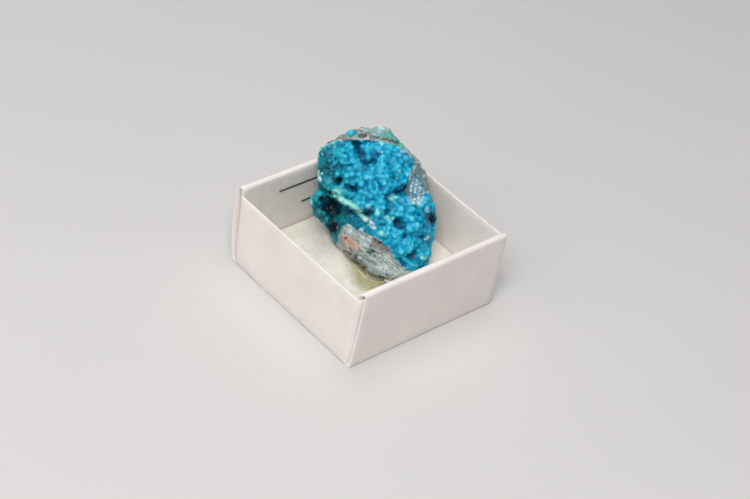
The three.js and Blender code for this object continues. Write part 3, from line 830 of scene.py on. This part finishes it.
# Marks in the colours, each a place in u, v and how far it reaches
marks = {
    "mint": [
        (2.0, 6.7, 1.0), (3.0, 2.4, 0.9), (4.4, 6.1, 0.9), (5.5, 10.1, 1.0), (-10.3, 20.2, 1.2),
        (-9.0, 21.3, 1.0), (-7.4, 22.2, 0.9), (-5.4, 22.5, 0.7), (2.9, 22.0, 0.9), (-12.0, 9.3, 0.7),
        (-6.0, 11.0, 0.8), (6.7, 15.4, 0.7), (11.8, -2.4, 0.7), (-7.0, 21.0, 0.6), (0.6, 4.0, 0.7),
    ],
    # pale mineral, and on the crest's top at (2.6, 25.3) a painted highlight
    "white": [
        (1.5, 3.8, 0.7), (1.0, 4.8, 0.6), (-0.4, 5.4, 0.8), (12.4, 1.5, 0.4), (2.6, 19.4, 0.3),
        (6.0, 13.9, 0.3), (-10.3, 15.4, 0.8), (-10.2, 14.0, 0.6), (1.1, -2.9, 1.4), (-1.6, 2.4, 1.3),
        (-3.8, 3.5, 1.0), (3.7, -5.0, 1.3), (2.6, 25.3, 1.1), (-0.2, 0.6, 0.9),
    ],
    "lilac": [
        (7.5, 20.2, 1.3), (4.0, 22.8, 0.8), (0.1, 8.2, 0.8), (9.9, 10.2, 1.8), (12.6, 7.6, 0.9),
        (-0.3, 14.2, 0.5),
    ],
    "pink": [(-4.8, 1.2, 1.0), (-4.1, 0.7, 1.2), (-3.1, 0.1, 1.1), (-2.4, -0.3, 0.8)],
    "rust": [(-4.2, -1.2, 0.6), (-0.3, -4.5, 0.6), (-4.7, 1.5, 0.4), (13.2, 1.0, 0.5)],
    "dark": [
        (0.6, -1.4, 0.7), (1.6, -2.1, 0.5), (-3.8, 3.9, 0.5), (3.1, -6.9, 0.7), (4.0, -6.0, 0.4),
        (-2.9, -2.5, 0.7), (-3.6, -1.6, 0.7), (-1.4, -3.2, 0.6), (-6.9, 22.6, 1.0), (-8.2, 22.0, 0.8),
        (-1.6, 23.6, 1.0), (-0.4, 23.2, 0.8), (6.2, 22.3, 0.5), (2.4, 0.3, 0.5),
    ],
    "brown": [
        (1.4, 0.6, 1.3), (2.8, 0.1, 1.3), (4.2, -0.7, 1.1), (-0.3, 23.3, 1.2), (-2.6, -3.4, 1.2),
        (-4.0, -1.6, 1.0), (-1.0, -4.8, 0.9), (-7.4, 22.8, 1.6), (-5.2, 23.2, 1.2),
    ],
    "green": [(4.6, 23.6, 1.3), (5.6, 22.9, 1.5), (6.8, 21.8, 1.5), (7.8, 20.9, 1.2), (3.2, 23.6, 1.0)],
    "slate": [
        (9.9, 18.4, 1.0), (10.6, 17.0, 1.3), (11.2, 15.5, 1.6), (11.8, 14.0, 1.6), (12.6, 12.4, 1.5),
        (8.6, 11.3, 1.3), (-3.0, 24.0, 1.0), (-6.6, 22.8, 0.9),
    ],
    # painted shade: near-black in the deepest pits and hollows
    "cave": [
        (-7.1, 8.8, 1.5), (-8.4, 8.0, 1.4), (-9.8, 9.9, 0.9), (-7.6, 3.8, 1.9), (13.4, 5.7, 1.3),
        (5.5, 5.2, 0.5), (7.5, 3.4, 0.4), (0.3, 7.0, 0.6), (-5.8, 13.7, 0.6), (-6.0, 7.0, 0.6),
    ],
    "shade": [
        (-8.0, 8.3, 2.6), (-9.5, 9.9, 1.3), (-7.7, 3.9, 1.7), (-6.2, 7.6, 1.3), (-4.2, 7.4, 1.0),
        (0.1, 6.9, 0.9), (6.4, 4.5, 1.4), (13.3, 5.7, 1.8), (-6.1, 13.8, 1.2), (-2.2, 21.2, 1.3),
        (-1.7, 19.6, 1.4), (-1.1, 18.0, 1.0), (-0.3, 16.9, 0.9), (1.4, 17.4, 0.8), (2.2, 19.0, 0.9),
        (6.0, 11.3, 1.0), (7.8, 12.2, 1.0), (4.2, 10.2, 0.8), (-3.4, 12.2, 1.2), (7.7, 1.8, 0.9),
        (11.4, 1.8, 0.8), (-10.4, 7.6, 2.2), (-9.0, 19.6, 1.2), (-8.6, 16.4, 1.6), (9.6, -1.9, 1.0),
        (3.9, 7.2, 0.8), (-11.0, 8.4, 1.6), (-10.2, 6.2, 1.8),
    ],
    "crestPale": [(2.4, 24.2, 2.2), (0.8, 24.3, 1.4), (9.0, 19.8, 1.6)],
    "blue": [(10.4, 14.4, 0.8), (11.2, 13.2, 0.8), (-3.6, 24.0, 1.3)],
}


def pathDistance(places, path):
    nearest = np.full(len(places), 1e9)
    for first, last in zip(path, path[1:]):
        edge = np.subtract(last, first)
        rel = places - first
        share = np.clip(rel @ edge / (edge @ edge), 0, 1)
        nearest = np.minimum(nearest, np.linalg.norm(rel - share[:, None] * edge, axis=1))
    return nearest


def outlineDistance(places, outline):     # positive inside, in millimetres
    places = np.asarray(places, float)
    closed = outline + outline[:1]
    inside = np.zeros(len(places), bool)
    for (u1, v1), (u2, v2) in zip(closed, closed[1:]):
        rises = (v1 > places[:, 1]) != (v2 > places[:, 1])
        cross = u1 + (places[:, 1] - v1) * (u2 - u1) / ((v2 - v1) or 1e-12)
        inside ^= rises & (places[:, 0] < cross)
    nearest = pathDistance(places, closed)
    return np.where(inside, nearest, -nearest)


def hullPlanes(points):
    shape = bmesh.new()
    for point in points:
        shape.verts.new(point)
    bmesh.ops.convex_hull(shape, input=shape.verts[:])
    middle = np.mean(points, axis=0)
    planes = []
    for face in shape.faces:
        normal = np.array(face.normal)
        offset = normal @ np.array(face.verts[0].co)
        if normal @ middle > offset:
            normal, offset = -normal, -offset
        planes.append((normal, offset))
    shape.free()
    return planes


# A block of distances to a surface on a regular grid, negative inside the stone
class DistanceBlock:
    everywhere = (slice(None),) * 3

    def __init__(self, low, high, step):
        self.step = step
        self.low = np.array(low, float)
        counts = np.ceil((np.array(high) - self.low) / step).astype(int) + 1
        self.axes = [self.low[i] + step * np.arange(counts[i]) for i in range(3)]
        self.values = np.full(counts, 6.0, np.float32)

    # the grid indices of a box, and broadcastable coordinates inside it
    def window(self, low, high):
        first = [max(0, int((low[i] - self.low[i]) / self.step)) for i in range(3)]
        last = [min(len(self.axes[i]), int((high[i] - self.low[i]) / self.step) + 2) for i in range(3)]
        cut = tuple(slice(a, b) for a, b in zip(first, last))
        grid = [self.axes[i][cut[i]].astype(np.float32) for i in range(3)]
        return cut, grid[0][:, None, None], grid[1][None, :, None], grid[2][None, None, :]

    def hull(self, points, margin=2.5):
        points = np.asarray(points)
        cut, u, v, w = self.window(points.min(0) - margin, points.max(0) + margin)
        distance = np.full(np.broadcast_shapes(u.shape, v.shape, w.shape), -1e3, np.float32)
        for normal, offset in hullPlanes(points):
            a, b, c = (np.float32(n) for n in normal)
            np.maximum(distance, (a * u + b * v - np.float32(offset)) + c * w, out=distance)
        return cut, distance

    def ellipsoid(self, centre, size, margin=1.2):
        size = np.full(3, size) if np.isscalar(size) else np.array(size, float)
        cut, u, v, w = self.window(centre - size - margin, centre + size + margin)
        a, b, c = (u - centre[0]) / size[0], (v - centre[1]) / size[1], (w - centre[2]) / size[2]
        reach = np.sqrt(a * a + b * b + c * c)
        return cut, ((reach - 1) * size.min()).astype(np.float32)

    def unite(self, cut, distance, blend):
        here = self.values[cut]
        share = np.clip(0.5 + 0.5 * (here - distance) / blend, 0, 1)
        self.values[cut] = here + (distance - here) * share - blend * share * (1 - share)

    def cutOut(self, cut, distance, blend):
        self.values[cut] *= -1
        self.unite(cut, distance, blend)
        self.values[cut] *= -1

    # the values averaged over a soft neighbourhood of about this radius
    def blurred(self, radius, passes=2):
        count = max(1, round(radius / self.step))
        values = np.clip(self.values, -2.5, 2.5)
        for _ in range(passes):
            for axis in range(3):
                pads = [(0, 0)] * 3
                pads[axis] = (count + 1, count)
                total = np.cumsum(np.pad(values, pads, mode="edge"), axis=axis, dtype=np.float32)
                span = 2 * count + 1
                upper = np.take(total, range(span, total.shape[axis]), axis)
                lower = np.take(total, range(total.shape[axis] - span), axis)
                values = (upper - lower) / span
        return values

    # smooth random values from -1 to 1, one for each cell
    def noise(self, cell, seed):
        random = np.random.RandomState(seed)
        sizes = [int((axis[-1] - axis[0]) / cell) + 3 for axis in self.axes]
        lattice = random.uniform(-1, 1, sizes)
        for number, axis in enumerate(self.axes):
            along = (axis - axis[0]) / cell + 0.37
            index = along.astype(int)
            part = along - index
            part = part * part * (3 - 2 * part)
            weights = np.zeros((len(axis), sizes[number]))
            weights[np.arange(len(axis)), index] = 1 - part
            weights[np.arange(len(axis)), index + 1] += part
            lattice = np.moveaxis(np.tensordot(weights, lattice, axes=(1, number)), 0, number)
        return lattice.astype(np.float32)

    def sample(self, values, points):
        place = (np.asarray(points) - self.low) / self.step
        place = np.clip(place, 0, np.array(values.shape) - 1.001)
        base = place.astype(int)
        part = (place - base).astype(np.float32)
        result = 0
        for corner in range(8):
            offset = np.array([corner & 1, corner >> 1 & 1, corner >> 2 & 1])
            weight = np.prod(np.where(offset, part, 1 - part), axis=1)
            i, j, k = (base + offset).T
            result = result + weight * values[i, j, k]
        return result

    def quads(self):
        band = 3 * self.step
        grid = openvdb.FloatGrid(band)
        grid.copyFromArray(np.clip(self.values, -band, band).astype(np.float32))
        grid.transform = openvdb.createLinearTransform(voxelSize=self.step)
        points, faces = grid.convertToQuads(isovalue=0.0)
        return points.astype(float) + self.low, faces.astype(int)

    # how far out the surface lies at places of the face
    def fronts(self, places):
        index = np.rint((np.asarray(places) - self.low[:2]) / self.step).astype(int)
        columns = self.values[index[:, 0], index[:, 1]]
        last = columns.shape[1] - 1 - np.argmax(columns[:, ::-1] < 0, axis=1)
        return self.axes[2][last]

    def outward(self, points):
        nudge = self.step * 1.5
        normal = np.stack([
            self.sample(self.values, points + np.eye(3)[i] * nudge)
            - self.sample(self.values, points - np.eye(3)[i] * nudge)
            for i in range(3)
        ], axis=1)
        return normal / np.maximum(np.linalg.norm(normal, axis=1), 1e-6)[:, None]


# The largest joined part of a mesh, without the loose crumbs and inner hollows that a grid leaves
def joinedPart(points, faces):
    part = np.arange(len(points))
    while True:
        lowest = part[faces].min(axis=1)
        fresh = part.copy()
        for corner in faces.T:
            np.minimum.at(fresh, corner, lowest)
        fresh = fresh[fresh]
        if np.array_equal(fresh, part):
            break
        part = fresh
    largest = np.bincount(part).argmax()
    kept = part == largest
    places = np.cumsum(kept) - 1
    return points[kept], places[faces[kept[faces[:, 0]]]]


# Picks places in random order, each a little apart from those already taken
def spreadOut(places, radii, spacing, random, standing):
    reach = 2 * spacing * max(radii.max(), max([r for *_, r in standing], default=0))
    taken = {}

    def cellOf(place):
        return tuple(int(math.floor(c / reach)) for c in place)

    for x, y, z, r in standing:
        taken.setdefault(cellOf((x, y, z)), []).append((x, y, z, r))
    chosen = []
    for index in random.permutation(len(places)):
        place, radius = places[index], radii[index]
        if radius <= 0:
            continue
        cell = cellOf(place)
        near = [
            other
            for i in (-1, 0, 1) for j in (-1, 0, 1) for k in (-1, 0, 1)
            for other in taken.get((cell[0] + i, cell[1] + j, cell[2] + k), ())
        ]
        if all(
            (place[0] - o[0]) ** 2 + (place[1] - o[1]) ** 2 + (place[2] - o[2]) ** 2
            > (spacing * (radius + o[3])) ** 2
            for o in near
        ):
            taken.setdefault(cell, []).append((*place, radius))
            chosen.append(index)
    return np.array(chosen, int)


# Positive where the crust covers the rock, in millimetres; waver makes its edge ragged
def crustCover(places, waver=0):
    depth = crust["depth"] + crust["depthLeft"] * ease(waver - places[:, 0], 5.0, 8.5)
    return np.minimum(outlineDistance(places[:, :2], crustOutline), places[:, 2] + depth + waver)


def roughStone():
    block = DistanceBlock(stone["low"], stone["high"], stone["step"])
    inset = rock["layerInset"]
    layers = [
        fromTray([(x, y, low) for x, y in outline] + [(x + inset, y, high) for x, y in outline])
        for low, high, outline in rockLayers
    ]
    for points in (rockBlock, *crestBlocks, *layers, pinkBlock):
        block.unite(*block.hull(points), rock["blend"])
    ridges = np.abs(block.noise(1.5, 11)) + 0.5 * np.abs(block.noise(0.7, 12))
    block.values += rock["swell"] * block.noise(3.4, 13) + rock["ridges"] * (ridges - 0.6)
    block.values += rock["grain"] * block.noise(0.45, 14)
    back = ease(-block.axes[2], 4.0, 9.0).astype(np.float32)
    steps = block.noise(4.6, 15) * 3.2
    block.values += back * rock["backSteps"] * (steps - np.floor(steps) + np.abs(block.noise(1.1, 16)))

    cover = DistanceBlock(stone["low"], stone["high"], stone["step"])
    for points in lobes:
        cover.unite(*cover.hull(points), crust["blend"]["lobes"])
    cover.values = cover.blurred(crust["lobeBlur"])
    cover.values += crust["thinned"] + crust["swell"] * cover.noise(2.1, 21)
    cover.values += crust["ripple"] * cover.noise(1.0, 22)
    block.unite(block.everywhere, cover.values, crust["blend"]["crust"])
    for centre, radius in crust["knobs"]:
        block.unite(*block.ellipsoid(np.array(centre), radius), crust["blend"]["knobs"])
    return block


def carveCrust(block, random):
    blend = crust["blend"]["sunk"]
    for radius, path in crust["troughs"]:
        places = subdivide(path, 0.4)
        for (u, v), front in zip(places, block.fronts(places)):
            size = radius * random.uniform(0.85, 1.15)
            block.cutOut(*block.ellipsoid(np.array([u, v, front + 0.1]), (size, size, size * 1.15)), blend)
    for centre, size in crust["pits"]:
        block.cutOut(*block.ellipsoid(np.array(centre), size), blend)
    fronts = block.fronts([spot[:2] for spot in crust["hollows"]])
    for (u, v, *size), front in zip(crust["hollows"], fronts):
        block.cutOut(*block.ellipsoid(np.array([u, v, front]), size), crust["blend"]["hollows"])


def raiseLedge(block, random):
    places = subdivide(crust["ledge"], 0.35)
    wander = crust["ledgeWander"]
    fronts = np.pad(block.fronts(places), 2, mode="edge")
    for (u, v), front in zip(places, np.convolve(fronts, np.full(5, 0.2), "valid")):
        radius = crust["ledgeRadius"] * random.uniform(0.6, 1.1)
        centre = np.array([u, v, front]) + random.uniform(-wander, wander, 3)
        block.unite(*block.ellipsoid(centre, radius), crust["blend"]["ledge"])


def bubbleCrust(block, random):
    blend = crust["blend"]["bubbles"]
    fronts = block.fronts([(u, v) for u, v, _ in crust["bubbles"]])
    standing = []
    for (u, v, size), front in zip(crust["bubbles"], fronts):
        radius = size * crust["bubbleGrowth"]
        centre = np.array([u, v, front + crust["bubbleRise"] * radius])
        standing.append((*centre, radius))
        block.unite(*block.ellipsoid(centre, radius, 0.5), blend)
    for name in ("fill", "beads"):      # the fill goes between the large bubbles, the beads go anywhere
        plan = crust[name]
        places, _ = block.quads()
        u, v = places[:, 0], places[:, 1]
        low, high = plan["radius"]
        drift = block.sample(block.noise(2.8, 31), places)
        share = np.clip(0.5 + 0.7 * drift + 0.3 * random.uniform(-1, 1, len(places)), 0, 1)
        share *= 1 - 0.25 * ease(-u, 2.0, 8.0)
        radii = low + (high - low) * share
        wanted = crustCover(places) > 0.1
        for bare in (columnOutline, smoothOutline):
            wanted &= outlineDistance(places[:, :2], bare) < 0.1
        recess = outlineDistance(places[:, :2], recessOutline)
        if name == "fill":
            wanted &= (recess < 0.1) | (u < crust["knobEdge"])
        else:
            patchy = block.sample(block.noise(1.9, 32), places)
            patchy += 0.2 * ease(-u, 1.0, 8.0) + 0.4 * ease(-v, -6.0, 0.0)
            wanted &= (recess > -0.3) | (patchy > 0.4)
        radii[~wanted] = 0
        others = standing if name == "fill" else []
        chosen = spreadOut(places, radii, plan["spacing"], random, others)
        normals = block.outward(places[chosen])
        for place, normal, radius in zip(places[chosen], normals, radii[chosen]):
            centre = place + normal * radius * plan["rise"]
            block.unite(*block.ellipsoid(centre, radius, 0.4), blend)
        print(name, "bubbles:", len(chosen))


def columnPatch(block, random):
    pitch, rows = crust["columnPitch"], crust["columnRows"]
    turn = math.radians(crust["columnTurn"])
    middleU, middleV = crust["columnMiddle"]
    places = []
    for i in range(-rows, rows + 1):
        for j in range(-rows, rows + 1):
            along = (j + 0.5 * (i % 2)) * pitch * 0.9
            across = i * pitch * 1.1
            u = middleU + across * math.cos(turn) - along * math.sin(turn)
            v = middleV + across * math.sin(turn) + along * math.cos(turn)
            places.append((u, v))
    inside = outlineDistance(places, columnOutline) > 0
    places = np.array(places)[inside]
    places += random.uniform(-crust["columnWander"], crust["columnWander"], places.shape)
    for (u, v), front in zip(places, block.fronts(places)):
        size = np.array(crust["columnSize"]) * crust["columnRadius"] * random.uniform(0.8, 1.15)
        centre = np.array([u, v, front + 0.05])
        block.unite(*block.ellipsoid(centre, size, 0.4), crust["blend"]["columns"])


def stoneBlock():
    random = np.random.RandomState(stone["seed"])
    block = roughStone()
    print("stone roughed out")
    carveCrust(block, random)
    raiseLedge(block, random)
    bubbleCrust(block, random)
    columnPatch(block, random)
    u, v, w = (axis.astype(np.float32) * rise for axis, rise in zip(block.axes, stoneAxes[:, 2]))
    height = u[:, None, None] + v[None, :, None] + w[None, None, :]
    foot = stone["foot"] - stone["frameHeight"]
    np.maximum(block.values, foot - height, out=block.values)
    return block


stoneLook = {
    # the ramps run from painted shade in the hollows to painted highlight on the bubble tops
    "rampPlaces": [0.0, 0.2, 0.42, 0.66, 0.88, 1.0],
    "blueRamp": ["034a68", "046286", "067b9c", "0b99bc", "20aecd", "54c4dc"],
    "tealRamp": ["02303d", "034a59", "056b7b", "0a8796", "1c9ea8", "4cb9bd"],
    "mint": "98dccb",
    "mintShade": "35a1a4",
    "cave": "03161d",
    "slate": "5d767b",
    "sparkle": "c4eef4",
    "lilac": "9dbcd6",
    "columnShade": "6d93a3",
    "columnPale": "b4cfd8",
    "white": "cfe4e6",
    "rockDark": "82908f",
    "rockGrey": "a2aea9",
    "rockPale": "c3cecb",
    "rockGreen": "4fa79c",
    "crestGrey": "7fa8a6",
    "rockBrown": "857370",
    "pink": "d6aea1",
    "pinkShade": "96655c",
    "rust": "8f5540",
    "speckAndShade": "22373a",
    "streakScale": (0.35, 2.6, 1.6),
    "streakSlope": (0.73, -0.68),       # along u and v
    "ledgeReach": 0.9,
    "markReach": 1.25,                  # how far a mark fades out, by its radius
}


def rampStops(name):
    return list(zip(stoneLook["rampPlaces"], map(hexColour, stoneLook[name])))


def stoneFinish():
    look = {name: hexColour(text) for name, text in stoneLook.items() if isinstance(text, str)}
    finish = Finish("chrysocollaCrust", {
        "Specular IOR Level": 0.16,
        "Coat Roughness": 0.14,
        "Subsurface Weight": 0.45,
        "Subsurface Radius": (0.3, 0.8, 1.0),
        "Subsurface Scale": 0.0007,
    })
    place = finish.place()
    mark = {name: finish.attribute(name) for name in marks}
    relief = finish.attribute("relief")
    cover = finish.attribute("cover")
    fine = finish.noise(place, 3.4, 4.0, 0.65)
    broad = finish.noise(place, 0.42, 3.0, 0.6)
    middle = finish.noise(place, 1.15, 4.0, 0.6)

    def marked(name, softness=0.9, low=0.35, high=0.6):
        return (mark[name] + (fine - 0.5) * softness + (middle - 0.5) * softness).between(low, high)

    # the crust: painted shade in the hollows, partly its own deeper colour, and painted highlight on the
    # bubbles
    # the shade marks paint deeper shade over troughs and hollows; the crust turns greener to the left
    shade = mark["shade"].between(-0.1, 0.8) * 0.4
    light = relief + (fine - 0.5) * 0.4 + (middle - 0.5) * 0.2 + (broad - 0.5) * 0.4 - shade
    light = (light - finish.attribute("leftward") * 0.08).atLeast(0.0).atMost(1.0)
    blue, teal = (
        finish.node("ShaderNodeValToRGB", {"stops": rampStops(name)}, {0: light})
        for name in ("blueRamp", "tealRamp")
    )
    greener = (finish.attribute("leftward") + (middle - 0.5) * 1.2).between(0.2, 0.9)
    blueTeal = finish.mix(greener, blue, teal)
    # painted light: the mint goes from a shaded to a lit copy with the painted light value
    mint = finish.mix(light.between(0.3, 0.75), look["mintShade"], look["mint"])
    ledge = (finish.attribute("ledge") + (middle - 0.5) * 0.9 + (fine - 0.5) * 0.9).between(0.15, 0.75)
    columns = finish.attribute("columns")
    # painted light: the columns go from a shaded to a lit copy with the painted light value
    columnColour = finish.mix(light.between(0.25, 0.8), look["columnShade"], look["columnPale"])
    # painted glints: pale specks only where the painted light is high
    sparkle = finish.noise(place, 5.6, 2.0, 0.5).between(0.67, 0.74) * light.between(0.45, 0.75)
    crustColour = finish.layered(
        blueTeal,
        (marked("lilac") * 0.6, look["lilac"]),
        (marked("mint", 0.7, 0.1, 0.8) * 0.8, mint),
        (ledge * 0.9, mint),
        (columns.between(-0.25, 0.3), columnColour),
        (marked("white", 0.8, 0.15, 0.7) * 0.8, look["white"]),
        (sparkle * 0.6, look["sparkle"]),
        # painted shade: near-black in the deepest pits and hollows
        (marked("cave", 0.5, 0.1, 0.7) * 0.85, look["cave"]),
    )

    # the rock: grey bands along the broken face, specks, rust and a pink block
    turning = {0: place, "Rotation": Matrix([tuple(row) for row in streakAxes]).to_euler()}
    streaked = finish.node("ShaderNodeMapping", {"vector_type": "POINT"}, turning)
    bands = finish.noise(finish.stretch(streaked, stoneLook["streakScale"]), 1.5, 6.0, 0.68, 0.4)
    behind = finish.attribute("behind")
    stain = finish.noise(place, 0.2, 4.0, 0.6)
    pinkShare = (bands * 0.6 + fine * 0.4).between(0.4, 0.54)
    specks = finish.noise(finish.stretch(streaked, (0.7, 1.3, 1.0)), 1.9, 3.0, 0.7).between(0.6, 0.68)
    rockColour = finish.layered(
        look["rockDark"],
        (bands.between(0.36, 0.6), look["rockGrey"]),
        ((bands + (broad - 0.5) * 0.9).between(0.48, 0.66), look["rockPale"]),
        (behind * stain.between(0.5, 0.62) * 0.5, look["rockGreen"]),
        (behind * (1 - stain.between(0.36, 0.46)) * 0.5, look["rockBrown"]),
        (marked("crestPale", 0.6) * 0.8, look["crestGrey"]),
        (marked("slate", 0.7) * 0.85, look["slate"]),
        (marked("green") * 0.85, look["rockGreen"]),
        (marked("brown") * 0.8, look["rockBrown"]),
        # white: pale mineral, and a painted highlight on the crest's top
        (marked("white", 1.2, 0.1, 0.7) * bands.between(0.4, 0.6) * 0.6, look["white"]),
        (marked("pink", 0.8, 0.2, 0.5) * 0.9, finish.mix(pinkShare, look["pinkShade"], look["pink"])),
        (marked("rust"), look["rust"]),
        (marked("blue", 0.8), finish.mix(0.35, blueTeal, teal)),
        ((specks * 0.5).atLeast(marked("dark", 1.3) * 0.8), look["speckAndShade"]),
        # painted shade: the rock darker in its hollows
        ((0.4 - relief).between(0.05, 0.5) * 0.6, look["speckAndShade"]),
    )

    crustShare = (cover.atLeast(columns) + (middle - 0.5) * 1.3).between(-0.12, 0.18)
    grain = finish.noise(place, 7.0, 3.0, 0.7)
    chips = finish.cells(place, 2.4)
    crustNormal = finish.bump(grain, 0.05, 0.5)
    normal = finish.bump((chips + bands) * (1 - crustShare), 0.12, 0.7, crustNormal)
    return finish.surface(
        Base_Color=finish.mix(crustShare, rockColour, crustColour),
        Roughness=0.62 - crustShare * 0.26 + (fine - 0.5) * 0.2,
        Coat_Weight=crustShare * relief.between(0.35, 0.75) * (0.02 + fine * 0.3),
        Normal=normal,
    )


def addAttribute(piece, name, values):
    layer = piece.data.attributes.new(name, "FLOAT", "POINT")
    layer.data.foreach_set("value", np.asarray(values, np.float32))


def buildStone():
    block = stoneBlock()
    points, faces = joinedPart(*block.quads())
    print("stone mesh:", len(points), "points", len(faces), "quads")
    finish = stoneFinish()
    piece = meshPiece("chrysocollaStone", toTray(points), faces, finish, "blue_stone", "chrysocolla_stone")
    u, v, w = points.T

    def sway(seed, *waves):     # a sum of noises, each given by its height and the size of its cells
        return sum(
            height * block.sample(block.noise(cell, seed + number), points)
            for number, (height, cell) in enumerate(waves)
        )

    # relief is high on tops and low in hollows; the finish paints highlight and shade with it
    near = block.sample(block.blurred(0.4), points)
    wide = block.sample(block.blurred(1.3), points)
    ragged = sway(61, (1.4, 2.2), (0.7, 0.8)) * ease(-w, 0.5, 2.5)
    onLedge = 1 - pathDistance(points[:, :2], crust["ledge"]) / stoneLook["ledgeReach"]
    layers = {
        "relief": np.clip(0.5 + 1.0 * near + 0.4 * wide, 0, 1),
        "cover": crustCover(points, ragged),
        "behind": ease(-w, 4.5, 7.5),
        "leftward": ease(-u + 0.3 * (8 - v), -4.0, 9.0),
        "ledge": onLedge + np.where(w > 0.8, 0, -2),
        "columns": np.where(w > -3, outlineDistance(points[:, :2], columnOutline), -1),
    }
    warpU, warpV = (sway(seed, (0.55, 1.3), (0.4, 0.6)) for seed in (51, 53))
    for name, spots in marks.items():
        reach = np.full(len(points), -1.0)
        for spotU, spotV, radius in spots:
            away = np.hypot(u + warpU - spotU, v + warpV - spotV)
            reach = np.maximum(reach, 1 - away / (radius * stoneLook["markReach"]))
        layers[name] = np.where(w > -7, reach, -1)
    for name, values in layers.items():
        addAttribute(piece, name, values)
    return block


# the grain of the rock runs down to the right across the face
streakAlong = stoneLook["streakSlope"] @ stoneAxes[:2]
streakAxes = [streakAlong, np.cross(stoneAxes[2], streakAlong), stoneAxes[2]]
stoneDistances = buildStone()
print("stone built")

# The clear glue between the stone and the pad
glue = {
    "step": 0.14,
    "low": (-9.0, -15.6, 4.7),
    "high": (16.4, 16.8, 6.9),
    "patchTop": 5.2,
    "sink": 0.12,                # how far the glue soaks into the pad
    "taper": 1.6,
    "climb": 0.9,
    "collarHeight": 1.7,
    "blend": 0.35,
    "gap": 0.05,
    "colour": (1.0, 0.975, 0.62, 1.0),
    "edgeColour": (1.0, 1.0, 0.97, 1.0),
    "edgeFade": 2.6,
    "edgeAlpha": 0.2,            # how solid the thin edge of the pool looks
    "threadHeight": 5.18,
    "threadColour": "f0eedb",
    "threadRadius": 0.1,
    "threadSides": 8,
    "threadSway": 0.12,
    "threads": [                 # places along each thread, seen from above
        [(-2.0, 4.4), (-2.4, 1.8), (-2.6, -0.6), (-3.0, -3.9), (-1.4, -6.6)],
        [(-6.9, -3.8), (-5.4, -2.9), (-4.0, -1.7)],
    ],
}
gluePatch = [
    (-1.6, 8.6), (-2.4, 4.6), (-4.4, 1.2), (-6.4, -1.8), (-7.2, -5.0), (-6.6, -9.0), (-3.6, -12.6),
    (2.4, -14.4), (8.6, -13.6), (13.4, -8.0), (15.2, -1.0), (15.0, 8.0), (11.4, 14.2), (4.8, 15.8),
    (-0.6, 13.2),
]


def threadFinish():
    finish = Finish("driedGlue", {"IOR": 1.49, "Transmission Weight": 0.3})
    cloud = finish.noise(finish.place(), 1.4, 3.0)
    colour = hexColour(glue["threadColour"])
    return finish.surface(
        Base_Color=finish.mix(cloud * 0.4, colour, glue["edgeColour"]),
        Roughness=0.2 + cloud * 0.2,
    )


def buildThreads():
    points, faces = [], []
    sides, height = glue["threadSides"], glue["threadHeight"]
    for path in glue["threads"]:
        start = len(points)
        places = subdivide(path, 0.3)
        for number, (x, y) in enumerate(places):
            before, after = places[max(number - 1, 0)], places[min(number + 1, len(places) - 1)]
            along = np.subtract(after, before) / math.dist(after, before)
            share = math.sin(math.pi * (number + 0.5) / len(places)) ** 0.5     # thin at both ends
            thin = glue["threadRadius"] * (0.35 + 0.65 * share)
            sway = glue["threadSway"] * math.sin(x * 2.3 + y * 1.7)
            for turn in np.arange(sides) * 2 * math.pi / sides:
                across = thin * math.cos(turn) + sway
                rise = thin * math.sin(turn)
                points.append((x - along[1] * across, y + along[0] * across, height + rise))
        for ring in range(start, len(points) - sides, sides):
            for side in range(sides):
                a, b = ring + side, ring + (side + 1) % sides
                faces.append((a, b, b + sides, a + sides))
        faces.append(tuple(range(start, start + sides))[::-1])
        faces.append(tuple(range(len(points) - sides, len(points))))
    meshPiece("glueThreads", points, faces, threadFinish(), "clear_glue")


def glueFinish():
    finish = Finish("setGlue", {"IOR": 1.49, "Transmission Weight": 1.0})
    place = finish.place()
    ripples = finish.noise(place, 0.5, 2.0)
    inward = finish.attribute("inward")
    return finish.surface(
        Base_Color=finish.mix(inward, glue["edgeColour"], glue["colour"]),
        Alpha=glue["edgeAlpha"] + inward * (1 - glue["edgeAlpha"]),
        Roughness=0.12 + finish.noise(place, 1.6, 3.0) * 0.25,
        Normal=finish.bump(ripples, 0.3, 0.35),
    )


def buildGlue():
    block = DistanceBlock(glue["low"], glue["high"], glue["step"])
    x, y, z = np.meshgrid(*block.axes, indexing="ij")
    places = np.stack([x.ravel(), y.ravel(), z.ravel()], 1)
    flat = np.stack([x[..., 0].ravel(), y[..., 0].ravel()], 1)
    edge = -outlineDistance(flat, gluePatch).reshape(x.shape[:2])
    edge += 0.5 * block.noise(2.6, 41)[..., 0]
    ground = pad["top"] - glue["sink"]
    crown = glue["patchTop"] - ground
    dome = (crown * np.clip(-edge / glue["taper"], 0, 1) ** 0.7)[..., None]
    edge = edge[..., None]
    pool = np.where(edge > 0, np.maximum(edge, z - ground), z - ground - dome)
    toStone = stoneDistances.sample(stoneDistances.values, fromTray(places)).reshape(x.shape)
    rise = np.clip(1 - (z - ground) / glue["collarHeight"], 0, 1)
    collar = toStone - glue["climb"] * rise ** 2.2
    block.values = pool.astype(np.float32)
    block.unite(block.everywhere, np.maximum(collar, z - ground - glue["collarHeight"]), glue["blend"])
    block.values = np.maximum.reduce([block.values, -(toStone + glue["gap"]), ground - z])
    points, faces = joinedPart(*block.quads())
    piece = meshPiece("setGlue", points, faces, glueFinish(), "clear_glue", "mounting_glue")
    addAttribute(piece, "inward", ease(outlineDistance(points[:, :2], gluePatch), 0.0, glue["edgeFade"]))


buildGlue()
buildThreads()
print("glue set")
